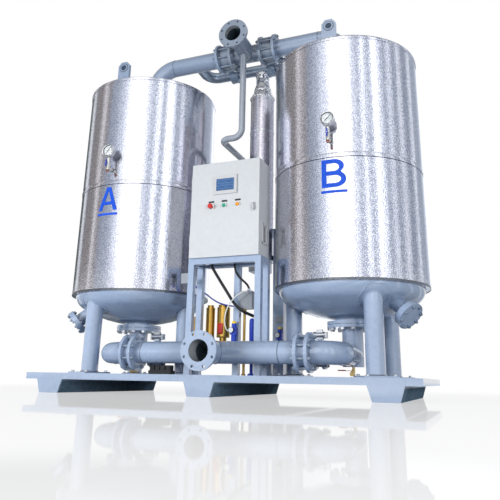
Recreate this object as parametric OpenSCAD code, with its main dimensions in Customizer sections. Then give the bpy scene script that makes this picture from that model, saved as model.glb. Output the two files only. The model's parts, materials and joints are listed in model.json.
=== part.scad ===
/* [Skid] */
// Length of the skid along the row of towers
skid_length = 3170; // [2900:10:3500]
// Width of the skid from front to back
skid_width = 1500; // [1400:10:1700]
// Height of the rails
rail_height = 50; // [40:1:80]
// Height of the feet under the rails
foot_height = 105; // [80:1:140]
// Spacing of the feet
foot_pitch = 1347; // [1200:1:1450]
// Width of a foot at the top
foot_top = 247; // [200:1:300]
// Width of a foot on the floor
foot_bottom = 181; // [140:1:190]

/* [Towers] */
// Distance of each tower axis from the middle
tower_x = 995; // [960:1:1060]
// Tower axis behind the middle line
tower_y = -20; // [-60:1:20]
// Outside radius of the vessel shell
vessel_r = 562; // [540:1:570]
// Wall of the vessel
vessel_wall = 12; // [8:1:16]
// Height of the lower head weld
head_low = 873; // [860:1:890]
// Height of the upper head weld
head_high = 2509; // [2450:1:2520]
// Depth of a dished head
head_depth = 281; // [260:1:285]
// Outside radius of the jacket
jacket_r = 624; // [615:1:640]
// Jacket sheet
jacket_sheet = 2; // [1.5:0.5:3]
// Lower edge of the jacket
jacket_low = 834; // [825:1:840]
// Seam between the jacket courses
jacket_seam = 1790; // [1700:1:1850]
// Upper edge of the jacket
jacket_high = 2820; // [2810:1:2850]
// Radius of a leg
leg_r = 70; // [60:1:76]
// Leg circle radius
leg_circle = 490; // [480:1:492]

/* [Piping] */
// Pipe radius of the main lines
pipe_r = 84; // [80:0.5:90]
// Pipe wall of the main lines
pipe_wall = 5; // [4:0.5:7]
// Outside diameter of a main flange
flange_d = 285; // [280:1:300]
// Bolt circle of a main flange
flange_pcd = 240; // [236:1:246]
// Bolt hole of a main flange
flange_hole = 22; // [21.5:0.5:24]
// Thickness of a main flange
flange_t = 24; // [20:1:28]
// Height of the bottom lines
header_z = 322; // [310:1:330]
// Inlet header in front of the middle
header_y = -580; // [-600:1:-570]
// Middle of the bottom and top lines
line_x = 40; // [20:1:60]
// Inlet flange face
inlet_y = -887; // [-900:1:-870]
// Inlet valve distance from the line middle
valve_pitch = 718; // [700:1:722]
// Inlet valve length
valve_len = 56; // [50:1:60]
// Bend radius of the bottom line of the first tower
bend_a = 229; // [200:1:240]
// Bend radius of the bottom line of the second tower
bend_b = 180; // [160:1:184]
// Height of the outlet header
outlet_z = 3228; // [3200:1:3260]
// Outlet flange face
outlet_y = -415; // [-440:1:-400]
// Check valve distance from the line middle
check_pitch = 225; // [222:1:240]
// Check valve length
check_len = 116; // [110:1:124]
// Bend radius of the top lines
bend_high = 229; // [220:1:240]

/* [Exhaust] */
// Exhaust line behind the header
exhaust_y = -190; // [-200:1:-188]
// Exhaust pipe radius
exhaust_r = 57; // [54:0.5:60]
// Exhaust valve distance from the line middle
exhaust_pitch = 730; // [720:1:735]
// Exhaust valve length
exhaust_len = 52; // [48:1:56]
// Radius of the large silencer
silencer_r = 54; // [48:1:60]

/* [Heater] */
// Heater place along the row
heater_x = 76; // [60:1:90]
// Heater place behind the middle
heater_y = 304; // [296:1:330]
// Heater casing radius
heater_r = 118; // [108:1:122]
// Lower face of the heater casing
heater_low = 1214; // [1200:1:1240]
// Drop from the outlet line to the upper edge of the heater casing
heater_drop = 341; // [320:1:380]
// Shelf that carries the heater
heater_seat = 1452; // [1440:1:1480]
// Regeneration line radius
regen_r = 55; // [50:1:58]

/* [Cabinet] */
// Cabinet width
cab_w = 618; // [580:1:640]
// Cabinet height
cab_h = 820; // [780:1:860]
// Cabinet depth
cab_d = 245; // [235:1:260]
// Cabinet front face
cab_y = -515; // [-525:1:-510]
// Cabinet bottom
cab_z = 1083; // [1060:1:1100]
// Cabinet sheet
cab_sheet = 2; // [1.5:0.5:3]
// Stand tube
stand_tube = 50; // [40:1:52]

/* [Fits] */
// Clear gap between curved pieces that do not move
clear = 0.3; // [0.2:0.1:0.5]
// Radial running fit of a turning or sliding stem
fit = 0.05; // [0.02:0.01:0.1]
// Air gap round the cabinet door
door_gap = 2; // [1:0.5:4]

/* [Hidden] */
$fn = 72;
deck_z = foot_height + rail_height;
deck_t = 6;
head_n = 14;
seat_t = 24;
seat_d = 405;
seat_pcd = 355;
seat_hole = 26;
gasket_t = 3;
seat_z = 560;
neck_r = 136.5;
neck_z = 2890;
port_r = 57;
port_d = 220;
port_pcd = 180;
port_t = 22;
port_dir = 31;
port_dip = 40;
top_port = [330, -150];
top_port_z = 2900;
lug_t = 30;
lug_w = 120;
lug_hole_z = 2954;
gauge_z = 2060;
cock_z = 1905;
valve_ax = line_x - valve_pitch;
valve_bx = line_x + valve_pitch;
exh_ax = line_x - exhaust_pitch;
exh_bx = line_x + exhaust_pitch;
chk_ax = line_x - check_pitch;
chk_bx = line_x + check_pitch;
cab_l = line_x + 17 - cab_w / 2;
cab_r = cab_l + cab_w;
post_y1 = cab_y + stand_tube;
post_y2 = cab_y + cab_d - stand_tube / 2;
post_l = cab_l + 13;
post_r = cab_r - 13;
post_m = line_x + 65;
door_t = 18;
hinge_r = 5;
hinge_pin = 2.5;
hinge_h = 40;
hinge_y = cab_y + door_t - door_gap / 2;
button_z = cab_z + 430;
button_hole = 11;
button_x = [cab_l + 190, cab_l + 310, cab_l + 430];
lock_x = cab_r - 50;
lock_z = cab_z + 400;
collar_t = 4;
inlet_neck = 152;
exhaust_neck = 120;
inlet_can = 42;
exhaust_can = 26;
bored = 10;
silencer_x = [line_x - 226, line_x - 104, line_x - 375];
silencer_size = [37, silencer_r, 30];
silencer_tall = [248, 248, 154];
heater_top = outlet_z - heater_drop;
heater_lip = 24;
heater_post_x = heater_x + 195;
heater_post_w = 100;
heel = 4;
regen_bend = 115;
regen_wall = 12;
stub_y = tower_y + pipe_r + 22;
purge_z = heater_low + 124;
regen_ax = line_x - 565;
regen_bx = line_x + 565;
legs_a = [-110, -4, 124];
legs_b = [-60, 60, 180];
conduit_r = 13;
tube_r = 6;

function unit(v) = v / norm(v);
function side(d) = abs(d[2]) > 0.9 ? [1, 0, 0] : [0, 0, 1];
function frame(x, y, z, p) = [[x[0], y[0], z[0], p[0]], [x[1], y[1], z[1], p[1]],
    [x[2], y[2], z[2], p[2]], [0, 0, 0, 1]];
function aim(p, d) = frame(side(d), cross(d, side(d)), d, p);
function turn(v, a, b, r) = frame(-b, a, cross(a, b), v - a * r + b * r);

// round bar along a line of points with quarter bends
module run(pts, r, bend, ext = 0) {
    n = len(pts);
    for (i = [0:1:n - 2]) {
        d = unit(pts[i + 1] - pts[i]);
        s = i == 0 ? -ext : bend;
        e = i == n - 2 ? -ext : bend;
        h = norm(pts[i + 1] - pts[i]) - s - e;
        if (h > 0.01) multmatrix(aim(pts[i] + d * s, d)) cylinder(r = r, h = h);
    }
    for (i = [1:1:n - 2]) {
        a = unit(pts[i] - pts[i - 1]);
        b = unit(pts[i + 1] - pts[i]);
        multmatrix(turn(pts[i], a, b, bend))
            rotate_extrude(angle = 90) translate([bend, 0]) circle(r = r);
    }
}

module ring(n, pcd) {
    for (i = [0:n - 1]) rotate(180 / n + i * 360 / n) translate([pcd / 2, 0, 0]) children();
}

module disc(d, t, n, pcd, hole) {
    difference() {
        cylinder(d = d, h = t);
        ring(n, pcd) translate([0, 0, -1]) cylinder(d = hole, h = t + 2);
    }
}

module along_x(p) { translate(p) rotate([0, 90, 0]) children(); }
module along_y(p) { translate(p) rotate([-90, 0, 0]) children(); }
module towers() { for (s = [-1, 1]) translate([s * tower_x, tower_y, 0]) children(); }

module main_flange() { disc(flange_d, flange_t, 8, flange_pcd, flange_hole); }

// solid of revolution of a vessel with dished ends
module bottle(r, depth, low, high) {
    rotate_extrude() polygon(concat(
        [for (i = [0:head_n]) [r * sin(90 * i / head_n), low - depth * cos(90 * i / head_n)]],
        [for (i = [0:head_n]) [r * cos(90 * i / head_n), high + depth * sin(90 * i / head_n)]]));
}

// a fastener with a hexagon head or nut at both ends of the grip
module stud(d, grip, over) {
    translate([0, 0, -over]) cylinder(d = d, h = grip + 2 * over);
    translate([0, 0, grip]) cylinder(d = d * 1.7, h = d * 0.8, $fn = 6);
    translate([0, 0, -d * 0.8]) cylinder(d = d * 1.7, h = d * 0.8, $fn = 6);
}

// a screw with its head below the face it starts from
module screw(d, reach) {
    cylinder(d = d, h = reach);
    translate([0, 0, -d * 0.7]) cylinder(d = d * 1.7, h = d * 0.7, $fn = 6);
}

module skid_frame() color([0.42, 0.49, 0.58]) {
    x = skid_length / 2;
    y = skid_width / 2;
    w = 100;
    translate([0, 0, foot_height]) difference() {
        union() {
            for (s = [-1, 1]) translate([-x, s * (y - w / 2) - w / 2, 0])
                cube([skid_length, w, rail_height]);
            for (s = [-1, 1]) translate([s * (x - w / 2) - w / 2, -y + 1, 0])
                cube([w, skid_width - 2, rail_height]);
            for (i = [-2:2]) translate([i * foot_pitch / 2 - w / 2, -y + 1, 0])
                cube([w, skid_width - 2, rail_height - deck_t]);
            translate([-x + 1, -y + 1, rail_height - deck_t])
                cube([skid_length - 2, skid_width - 2, deck_t]);
        }
        for (s = [-1, 1]) translate([-x - 1, s * (y - w / 2) - w / 2 + 6, 6])
            cube([skid_length + 2, w - 12, rail_height - 12]);
    }
    for (s = [-1, 1]) for (k = [-1, 1])
        translate([s * (x - 3) - 3, k * (y - w / 2) - w / 2 + 5, foot_height + 5])
            cube([6, w - 10, rail_height - 10]);
}

module skid_feet() color([0.40, 0.47, 0.56]) {
    t = 8;
    for (i = [-1:1]) translate([i * foot_pitch, skid_width / 2 - 2, 0]) rotate([90, 0, 0]) difference() {
        linear_extrude(skid_width - 4) polygon([[-foot_bottom / 2, 0], [foot_bottom / 2, 0],
            [foot_top / 2, foot_height], [-foot_top / 2, foot_height]]);
        translate([0, 0, t]) linear_extrude(skid_width - 4 - 2 * t) polygon([
            [-foot_bottom / 2 + t, t], [foot_bottom / 2 - t, t],
            [foot_top / 2 - t, foot_height + 1], [-foot_top / 2 + t, foot_height + 1]]);
    }
}

// place of the discharge port on the lower head, axis pointing out
module at_port(s) {
    rotate([0, 0, s > 0 ? -port_dir : 180 + port_dir]) translate([556, 0, 603])
        rotate([0, 90 + port_dip, 0]) children();
}

module vessel(s) {
    difference() {
        union() {
            bottle(vessel_r, head_depth, head_low, head_high);
            translate([0, 0, seat_z]) cylinder(r = neck_r, h = 80);
            difference() {
                translate([0, 0, seat_z]) cylinder(d = seat_d, h = seat_t);
                translate([0, 0, seat_z - 1]) ring(12, seat_pcd) cylinder(d = seat_hole, h = seat_t - 4);
            }
            translate([0, 0, neck_z - 130]) cylinder(r = pipe_r, h = 130);
            translate([0, 0, neck_z]) main_flange();
            at_port(s) translate([0, 0, -170]) cylinder(r = port_r, h = 150);
            at_port(s) translate([0, 0, -port_t]) disc(port_d, port_t, 8, port_pcd, 18);
            translate([s * top_port[0], top_port[1], top_port_z - 260]) cylinder(r = port_r, h = 260);
            translate([s * top_port[0], top_port[1], top_port_z - port_t])
                disc(port_d, port_t, 8, port_pcd, 18);
            along_y([0, -vessel_r - 18, cock_z]) cylinder(r = 22, h = 25);
            for (k = [0, 180]) rotate(k) translate([-lug_w / 2, -vessel_r - lug_t, 2300])
                cube([lug_w, lug_t + 16, 200]);
            for (k = [0, 180]) rotate(k) lug();
        }
        bottle(vessel_r - vessel_wall, head_depth - vessel_wall, head_low, head_high);
        translate([0, 0, seat_z - 1]) cylinder(r = neck_r - 8, h = 120);
        translate([0, 0, neck_z - 200]) cylinder(r = pipe_r - pipe_wall, h = 300);
        at_port(s) translate([0, 0, -220]) cylinder(r = port_r - 5, h = 240);
        translate([s * top_port[0], top_port[1], top_port_z - 300]) cylinder(r = port_r - 5, h = 320);
        along_y([0, -vessel_r - 30, cock_z]) cylinder(r = 8, h = 60);
    }
    difference() {
        translate([0, 0, head_low - 30]) cylinder(r = vessel_r - vessel_wall + 1, h = 12);
        translate([0, 0, head_low - 31]) cylinder(r = vessel_r - vessel_wall - 40, h = 14);
    }
}

module lug() {
    half = lug_w / 2;
    translate([0, -vessel_r - lug_t, 0]) rotate([90, 0, 180]) difference() {
        union() {
            linear_extrude(lug_t) polygon([[-half, 2300], [half, 2300], [half, lug_hole_z + 25],
                [half - 30, lug_hole_z + 62], [-half + 30, lug_hole_z + 62], [-half, lug_hole_z + 25]]);
            translate([0, lug_hole_z, -4]) cylinder(r = 42, h = lug_t + 4);
        }
        translate([0, lug_hole_z, -6]) cylinder(r = 27, h = lug_t + 12);
    }
}

module vessel_a() color([0.45, 0.53, 0.63]) translate([-tower_x, tower_y, 0]) vessel(-1);
module vessel_b() color([0.45, 0.53, 0.63]) translate([tower_x, tower_y, 0]) vessel(1);

module legs(angles) {
    for (a = angles) rotate(a) {
        difference() {
            union() {
                translate([leg_circle, 0, deck_z + 12]) cylinder(r = leg_r, h = 720);
                intersection() {
                    bottle(vessel_r + 8, head_depth + 8, head_low, head_high);
                    translate([leg_circle - 12, 0, deck_z + 200])
                        cylinder(r = 100, h = jacket_low - deck_z - 206);
                }
            }
            bottle(vessel_r + clear, head_depth + clear, head_low, head_high);
            translate([leg_circle, 0, deck_z + 20]) cylinder(r = leg_r - 8, h = 720);
        }
        translate([leg_circle, 0, deck_z + 6]) cube([250, 250, 12], center = true);
    }
}
module vessel_legs() color([0.45, 0.53, 0.63]) {
    translate([-tower_x, tower_y, 0]) legs(legs_a);
    translate([tower_x, tower_y, 0]) legs(legs_b);
}

module jacket(low, high) {
    difference() {
        translate([0, 0, low]) cylinder(r = jacket_r, h = high - low);
        translate([0, 0, low - 1]) cylinder(r = jacket_r - jacket_sheet, h = high - low + 2);
        along_y([0, -jacket_r - 20, cock_z]) cylinder(r = 18, h = 40);
    }
}
module jacket_low_course() {
    jacket(jacket_low, jacket_seam);
    difference() {
        translate([0, 0, jacket_low]) cylinder(r = jacket_r - jacket_sheet, h = jacket_sheet);
        translate([0, 0, jacket_low - 1]) cylinder(r = vessel_r + 2, h = jacket_sheet + 2);
    }
}
module jackets_lower() color([0.78, 0.79, 0.81]) towers() jacket_low_course();
module jackets_upper() color([0.78, 0.79, 0.81]) towers() jacket(jacket_seam, jacket_high);

module cap(s) {
    difference() {
        translate([0, 0, jacket_high]) cylinder(r = jacket_r, h = jacket_sheet);
        translate([0, 0, jacket_high - 1]) cylinder(r = pipe_r + 2, h = 10);
        translate([s * top_port[0], top_port[1], jacket_high - 1]) cylinder(r = port_r + 2, h = 10);
        for (k = [0, 180]) rotate(k)
            translate([-lug_w / 2 - 3, -vessel_r - lug_t - 7, jacket_high - 1])
                cube([lug_w + 6, lug_t + 14, 10]);
    }
}
module jacket_caps() color([0.78, 0.79, 0.81]) {
    translate([-tower_x, tower_y, 0]) cap(-1);
    translate([tower_x, tower_y, 0]) cap(1);
}

module wool(s) {
    difference() {
        translate([0, 0, jacket_low + jacket_sheet])
            cylinder(r = jacket_r - jacket_sheet - clear, h = jacket_high - jacket_low - jacket_sheet);
        bottle(vessel_r + clear, head_depth + clear, head_low, head_high);
        translate([0, 0, 2600]) cylinder(r = pipe_r + clear, h = 300);
        translate([s * top_port[0], top_port[1], top_port_z - 300]) cylinder(r = port_r + clear, h = 300);
        along_y([0, -jacket_r - 20, cock_z]) cylinder(r = 30, h = 120);
        for (k = [0, 180]) rotate(k) translate([-lug_w / 2 - 1, -vessel_r - lug_t - 6, 2299])
            cube([lug_w + 2, lug_t + 30, 600]);
        for (a = s > 0 ? legs_b : legs_a) rotate(a) translate([leg_circle, 0, 700])
            cylinder(r = leg_r + 1, h = 200);
    }
}
module insulation() color([0.85, 0.80, 0.55]) {
    translate([-tower_x, tower_y, 0]) wool(-1);
    translate([tower_x, tower_y, 0]) wool(1);
}

module desiccant_beds() color([0.93, 0.93, 0.90]) towers()
    translate([0, 0, head_low + 1])
        cylinder(r = vessel_r - vessel_wall - 0.5, h = head_high - head_low - 60);

module bed_supports() color([0.62, 0.63, 0.64]) towers() difference() {
    translate([0, 0, head_low - 18]) cylinder(r = vessel_r - vessel_wall - 8, h = 19);
    for (k = [1:4]) for (i = [0:k * 6 - 1]) rotate(i * 60 / k)
        translate([k * 100, 0, head_low - 20]) cylinder(r = 22, h = 30);
}

module closure_gaskets() color([0.10, 0.12, 0.18]) towers()
    translate([0, 0, seat_z - gasket_t]) difference() {
        cylinder(d = seat_pcd - seat_hole - 4, h = gasket_t);
        translate([0, 0, -1]) cylinder(r = neck_r - 8, h = gasket_t + 2);
    }

module inlet_header() color([0.45, 0.53, 0.63]) {
    xa = valve_ax + valve_len / 2;
    xb = valve_bx - valve_len / 2;
    ix = line_x + 17;
    difference() {
        union() {
            run([[xa, header_y, header_z], [xb, header_y, header_z]], pipe_r, 10);
            run([[ix, header_y, header_z], [ix, inlet_y, header_z]], pipe_r - 0.2, 10);
            along_x([xa, header_y, header_z]) main_flange();
            along_x([xb - flange_t, header_y, header_z]) main_flange();
            along_y([ix, inlet_y, header_z]) main_flange();
        }
        run([[xa, header_y, header_z], [xb, header_y, header_z]], pipe_r - pipe_wall, 10, 1);
        run([[ix, header_y, header_z], [ix, inlet_y, header_z]], pipe_r - pipe_wall - 0.2, 10, 1);
    }
}

module wafer(len, od, id, neck, neck_len, stem) {
    difference() {
        union() {
            translate([0, 0, -len / 2]) cylinder(d = od, h = len);
            rotate([0, 90, 0]) cylinder(r = neck, h = neck_len);
            translate([neck_len - 8, 0, 0]) rotate([0, 90, 0]) cylinder(r = neck + 14, h = 8);
        }
        translate([0, 0, -len / 2 - 1]) cylinder(d = id, h = len + 2);
        translate([-id / 2 - 12, 0, 0]) rotate([0, 90, 0]) cylinder(r = stem + fit, h = neck_len + id);
    }
}
module valve_disc(d, t, stem, reach) {
    cylinder(d = d, h = t, center = true);
    translate([-d / 2 - 8, 0, 0]) rotate([0, 90, 0]) cylinder(r = stem, h = d / 2 + 8 + reach);
    translate([-d / 2 + 6, 0, 0]) rotate([0, 90, 0]) cylinder(r = stem + 4, h = d - 12);
}
// valve seats: disc across the line, stem to the back for the inlet and upward for the exhaust
module at_inlet(x) { translate([x, header_y, header_z]) rotate([0, 0, 90]) rotate([90, 0, 0]) children(); }
module at_exhaust(x) { translate([x, exhaust_y, header_z]) rotate([0, -90, 0]) children(); }

module inlet_valves() color([0.40, 0.48, 0.60]) for (x = [valve_ax, valve_bx]) at_inlet(x)
    wafer(valve_len, flange_pcd - flange_hole - 6, 150, 22, inlet_neck, 9);
module inlet_disc_a() color([0.75, 0.76, 0.78]) at_inlet(valve_ax)
    valve_disc(148, 14, 9, inlet_neck + bored);
module inlet_disc_b() color([0.75, 0.76, 0.78]) at_inlet(valve_bx)
    valve_disc(148, 14, 9, inlet_neck + bored);
module exhaust_valves() color([0.40, 0.48, 0.60]) for (x = [exh_ax, exh_bx]) at_exhaust(x)
    wafer(exhaust_len, 158, 100, 18, exhaust_neck, 7);
module exhaust_disc_a() color([0.75, 0.76, 0.78]) at_exhaust(exh_ax)
    valve_disc(98, 12, 7, exhaust_neck + bored);
module exhaust_disc_b() color([0.75, 0.76, 0.78]) at_exhaust(exh_bx)
    valve_disc(98, 12, 7, exhaust_neck + bored);

module actuator(r, half, stem) {
    difference() {
        union() {
            translate([0, 0, -half]) cylinder(r = r, h = 2 * half);
            translate([-r - 4, -r * 0.7, -half * 0.6]) cube([2 * r + 8, r * 1.4, half * 1.2]);
            for (z = [-half - 14, half]) translate([-r * 0.9, -r * 0.9, z])
                cube([r * 1.8, r * 1.8, 14]);
        }
        translate([-r - 5, 0, 0]) rotate([0, 90, 0]) cylinder(r = stem + fit, h = bored + 12);
    }
    translate([r + 4, -14, -22]) cube([14, 28, 44]);
}
module actuators() color([0.80, 0.81, 0.83]) {
    for (x = [valve_ax, valve_bx]) at_inlet(x)
        translate([inlet_neck + inlet_can + 4, 0, 0]) actuator(inlet_can, 72, 9);
    for (x = [exh_ax, exh_bx]) at_exhaust(x)
        translate([exhaust_neck + exhaust_can + 4, 0, 0]) actuator(exhaust_can, 46, 7);
}

// a riser carries the tower closure flange, the inlet bend and the exhaust branch
module riser(s) {
    tx = s * tower_x;
    vx = s > 0 ? valve_bx + valve_len / 2 : valve_ax - valve_len / 2;
    ex = s > 0 ? exh_bx + exhaust_len / 2 : exh_ax - exhaust_len / 2;
    bend = s > 0 ? bend_b : bend_a;
    path = [[vx, header_y, header_z], [tx, header_y, header_z], [tx, tower_y, header_z]];
    difference() {
        union() {
            run(path, pipe_r, bend);
            translate([tx, tower_y, header_z - pipe_r - heel])
                cylinder(r = pipe_r + 0.3, h = seat_z - gasket_t - header_z + pipe_r + heel);
            translate([tx, tower_y, seat_z - gasket_t - seat_t])
                disc(seat_d, seat_t, 12, seat_pcd, seat_hole);
            along_x([s > 0 ? vx : vx - flange_t, header_y, header_z]) main_flange();
            run([[ex, exhaust_y, header_z], [tx, exhaust_y, header_z]], exhaust_r, 10);
            along_x([s > 0 ? ex : ex - 20, exhaust_y, header_z]) disc(220, 20, 8, 180, 18);
        }
        run(path, pipe_r - pipe_wall, bend, 1);
        translate([tx, tower_y, header_z - pipe_r + 2]) cylinder(r = pipe_r - pipe_wall + 0.3, h = 400);
        run([[ex, exhaust_y, header_z], [tx, exhaust_y, header_z]], exhaust_r - 4, 10, 1);
        translate([tx, tower_y, header_z - pipe_r - heel - 1]) cylinder(r = 8, h = 20);
    }
}
module inlet_riser_a() color([0.45, 0.53, 0.63]) riser(-1);
module inlet_riser_b() color([0.45, 0.53, 0.63]) riser(1);

module exhaust_manifold() color([0.45, 0.53, 0.63]) {
    xa = exh_ax + exhaust_len / 2;
    xb = exh_bx - exhaust_len / 2;
    difference() {
        union() {
            run([[xa, exhaust_y, header_z], [xb, exhaust_y, header_z]], exhaust_r, 10);
            along_x([xa, exhaust_y, header_z]) disc(220, 20, 8, 180, 18);
            along_x([xb - 20, exhaust_y, header_z]) disc(220, 20, 8, 180, 18);
            for (x = silencer_x) translate([x, exhaust_y, header_z]) cylinder(r = 24, h = 110);
            for (x = [line_x - 340, line_x + 300]) translate([x - 30, exhaust_y - 30, deck_z])
                cube([60, 60, header_z - deck_z - 40]);
        }
        run([[xa, exhaust_y, header_z], [xb, exhaust_y, header_z]], exhaust_r - 4, 10, 1);
        for (x = silencer_x) translate([x, exhaust_y, header_z]) cylinder(r = 20, h = 120);
    }
}

module silencers() color([0.80, 0.66, 0.28]) {
    for (i = [0:2]) translate([silencer_x[i], exhaust_y, header_z + 110])
        silencer(silencer_size[i], silencer_tall[i]);
}
// a drilled canister on its screwed neck
module silencer(r, tall) {
    difference() {
        union() {
            cylinder(r = min(30, r - 4), h = 30);
            translate([0, 0, 30]) cylinder(r = r, h = tall);
            translate([0, 0, 30 + tall]) cylinder(r = r - 10, h = 22);
        }
        translate([0, 0, -1]) cylinder(r = 20, h = tall);
        for (k = [0:2]) translate([0, 0, 30 + tall * (0.2 + 0.27 * k)]) rotate([90, 0, 0])
            cylinder(r = 12, h = 200, center = true);
    }
}

module drain(s) {
    translate([s * tower_x, tower_y, 0]) {
        translate([0, 0, 170]) cylinder(r = 12, h = header_z - pipe_r - heel - 170);
        translate([0, 0, 182]) rotate([90, 0, 0]) cylinder(r = 10, h = 60);
        translate([0, -40, 182]) rotate([90, 0, 0]) cylinder(r = 17, h = 40);
        translate([0, -60, 182]) cylinder(r = 9, h = 22);
        translate([0, -60, 190]) cylinder(r = 4, h = 24);
    }
}
module drain_valves() color([0.78, 0.62, 0.30]) {
    drain(-1);
    drain(1);
}
module lever(s) {
    translate([s * tower_x, tower_y - 60, 204]) difference() {
        union() {
            cylinder(r = 10, h = 4);
            translate([-112, -8, 0]) cube([112, 16, 4]);
            translate([-112, -8, 4]) cube([60, 16, 5]);
        }
        translate([0, 0, -1]) cylinder(r = 4 + fit, h = 10);
    }
}
module drain_lever_a() color([0.80, 0.12, 0.10]) lever(-1);
module drain_lever_b() color([0.80, 0.12, 0.10]) lever(1);

module outlet_header() color([0.45, 0.53, 0.63]) {
    xa = chk_ax + check_len / 2;
    xb = chk_bx - check_len / 2;
    difference() {
        union() {
            run([[xa, tower_y, outlet_z], [xb, tower_y, outlet_z]], pipe_r, 10);
            run([[line_x, tower_y, outlet_z], [line_x, outlet_y, outlet_z]], pipe_r - 0.2, 10);
            along_x([xa, tower_y, outlet_z]) main_flange();
            along_x([xb - flange_t, tower_y, outlet_z]) main_flange();
            along_y([line_x, outlet_y, outlet_z]) main_flange();
        }
        run([[xa, tower_y, outlet_z], [xb, tower_y, outlet_z]], pipe_r - pipe_wall, 10, 1);
        run([[line_x, tower_y, outlet_z], [line_x, outlet_y, outlet_z]], pipe_r - pipe_wall - 0.2, 10, 1);
        translate([line_x, tower_y - 120, outlet_z - pipe_r - 20]) cylinder(r = 26, h = 60);
    }
}
module outlet_pipe(s) {
    tx = s * tower_x;
    cx = s > 0 ? chk_bx + check_len / 2 : chk_ax - check_len / 2;
    low = neck_z + flange_t + gasket_t;
    rx = s > 0 ? regen_bx : regen_ax;
    path = [[cx, tower_y, outlet_z], [tx, tower_y, outlet_z], [tx, tower_y, low]];
    difference() {
        union() {
            run(path, pipe_r, bend_high);
            along_x([s > 0 ? cx : cx - flange_t, tower_y, outlet_z]) main_flange();
            translate([tx, tower_y, low]) main_flange();
            translate([tx, tower_y, low - gasket_t])
                cylinder(d = flange_pcd - flange_hole - 4, h = gasket_t + 1);
            along_y([rx, tower_y, outlet_z]) cylinder(r = regen_r, h = stub_y - tower_y);
        }
        run(path, pipe_r - pipe_wall, bend_high, 5);
        along_y([rx, tower_y, outlet_z]) cylinder(r = regen_r - regen_wall, h = stub_y - tower_y + 1);
    }
}
module outlet_pipe_a() color([0.45, 0.53, 0.63]) outlet_pipe(-1);
module outlet_pipe_b() color([0.45, 0.53, 0.63]) outlet_pipe(1);

// lift check valve: seat on the tower side, guide on the outlet side
module check_body() {
    difference() {
        translate([0, 0, -check_len / 2]) cylinder(d = 206, h = check_len);
        translate([0, 0, -check_len / 2 - 1]) cylinder(r = 56, h = 40);
        translate([0, 0, -check_len / 2 + 25]) cylinder(r = 78, h = check_len);
    }
    difference() {
        translate([-79, -8, check_len / 2 - 24]) cube([158, 16, 20]);
        translate([0, 0, check_len / 2 - 30]) cylinder(r = 9 + fit, h = 40);
    }
}
module check_disc() {
    translate([0, 0, -check_len / 2 + 25]) cylinder(r = 66, h = 12);
    translate([0, 0, -check_len / 2 + 30]) cylinder(r = 9, h = 80);
}
module at_check(s) {
    if (s < 0) along_x([chk_ax, tower_y, outlet_z]) children();
    else translate([chk_bx, tower_y, outlet_z]) rotate([0, -90, 0]) children();
}
module check_valves() color([0.40, 0.48, 0.60]) {
    at_check(-1) check_body();
    at_check(1) check_body();
}
module check_disc_a() color([0.75, 0.76, 0.78]) at_check(-1) check_disc();
module check_disc_b() color([0.75, 0.76, 0.78]) at_check(1) check_disc();

module regen_manifold() color([0.80, 0.81, 0.83]) {
    path = [[regen_ax, stub_y, outlet_z], [regen_ax, heater_y, outlet_z],
        [regen_bx, heater_y, outlet_z], [regen_bx, stub_y, outlet_z]];
    difference() {
        union() {
            run(path, regen_r, regen_bend);
            for (x = [line_x - 268, line_x + 145]) along_x([x - 40, heater_y, outlet_z])
                cylinder(r = 88, h = 80);
        }
        run(path, regen_r - regen_wall, regen_bend, 1);
        translate([heater_x, heater_y, outlet_z - 100]) cylinder(r = 34, h = 90);
    }
}

module heater_casing() color([0.80, 0.81, 0.83]) translate([heater_x, heater_y, 0]) difference() {
    neck = 52;
    union() {
        translate([0, 0, heater_low + 10]) cylinder(r = heater_r, h = heater_top - heater_low - 10);
        translate([0, 0, heater_low]) cylinder(r = heater_r + heater_lip, h = 24);
        translate([0, 0, heater_seat + 12]) cylinder(r = heater_r + 16, h = 14);
        translate([0, 0, heater_top]) rotate_extrude()
            polygon([[0, 0], [heater_r, 0], [neck, 90], [0, 90]]);
        translate([0, 0, heater_top + 80]) cylinder(r = neck, h = outlet_z - regen_r - heater_top - 72);
        translate([0, 0, purge_z]) rotate([-90, 0, 0]) cylinder(r = 45, h = heater_r + 6);
    }
    translate([0, 0, heater_low - 1]) cylinder(r = heater_r - 34, h = heater_top - heater_low - 30);
    translate([0, 0, heater_top - 100]) cylinder(r = neck - 12, h = 600);
    translate([0, 0, purge_z]) rotate([-90, 0, 0]) cylinder(r = 26, h = heater_r + 20);
    translate([-500, 0, outlet_z]) rotate([0, 90, 0]) cylinder(r = regen_r + clear, h = 1000);
}
module heater_elements() color([0.55, 0.56, 0.58]) translate([heater_x, heater_y, heater_low]) {
    translate([0, 0, -24]) cylinder(r = heater_r + heater_lip, h = 24);
    translate([-85, -85, -24 - 100]) cube([170, 170, 100]);
    for (i = [0:5]) rotate(i * 60) translate([50, 0, 0]) cylinder(r = 8, h = heater_top - heater_low - 120);
}
module heater_post() color([0.30, 0.34, 0.40]) {
    w = heater_post_w;
    top = heater_seat;
    translate([heater_post_x - w / 2, heater_y - w / 2, deck_z]) difference() {
        cube([w, w, top - deck_z]);
        translate([6, 6, -1]) cube([w - 12, w - 12, top - deck_z - 5]);
    }
    translate([heater_post_x - w, heater_y - w, deck_z]) difference() {
        cube([2 * w, 2 * w, 10]);
        translate([w / 2 + 6, w / 2 + 6, -1]) cube([w - 12, w - 12, 20]);
    }
    difference() {
        translate([heater_x - 150, heater_y - 150, top])
            cube([heater_post_x + w / 2 - heater_x + 150, 300, 12]);
        translate([heater_x, heater_y, top - 20]) cylinder(r = heater_r + clear, h = 40);
    }
}

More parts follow.
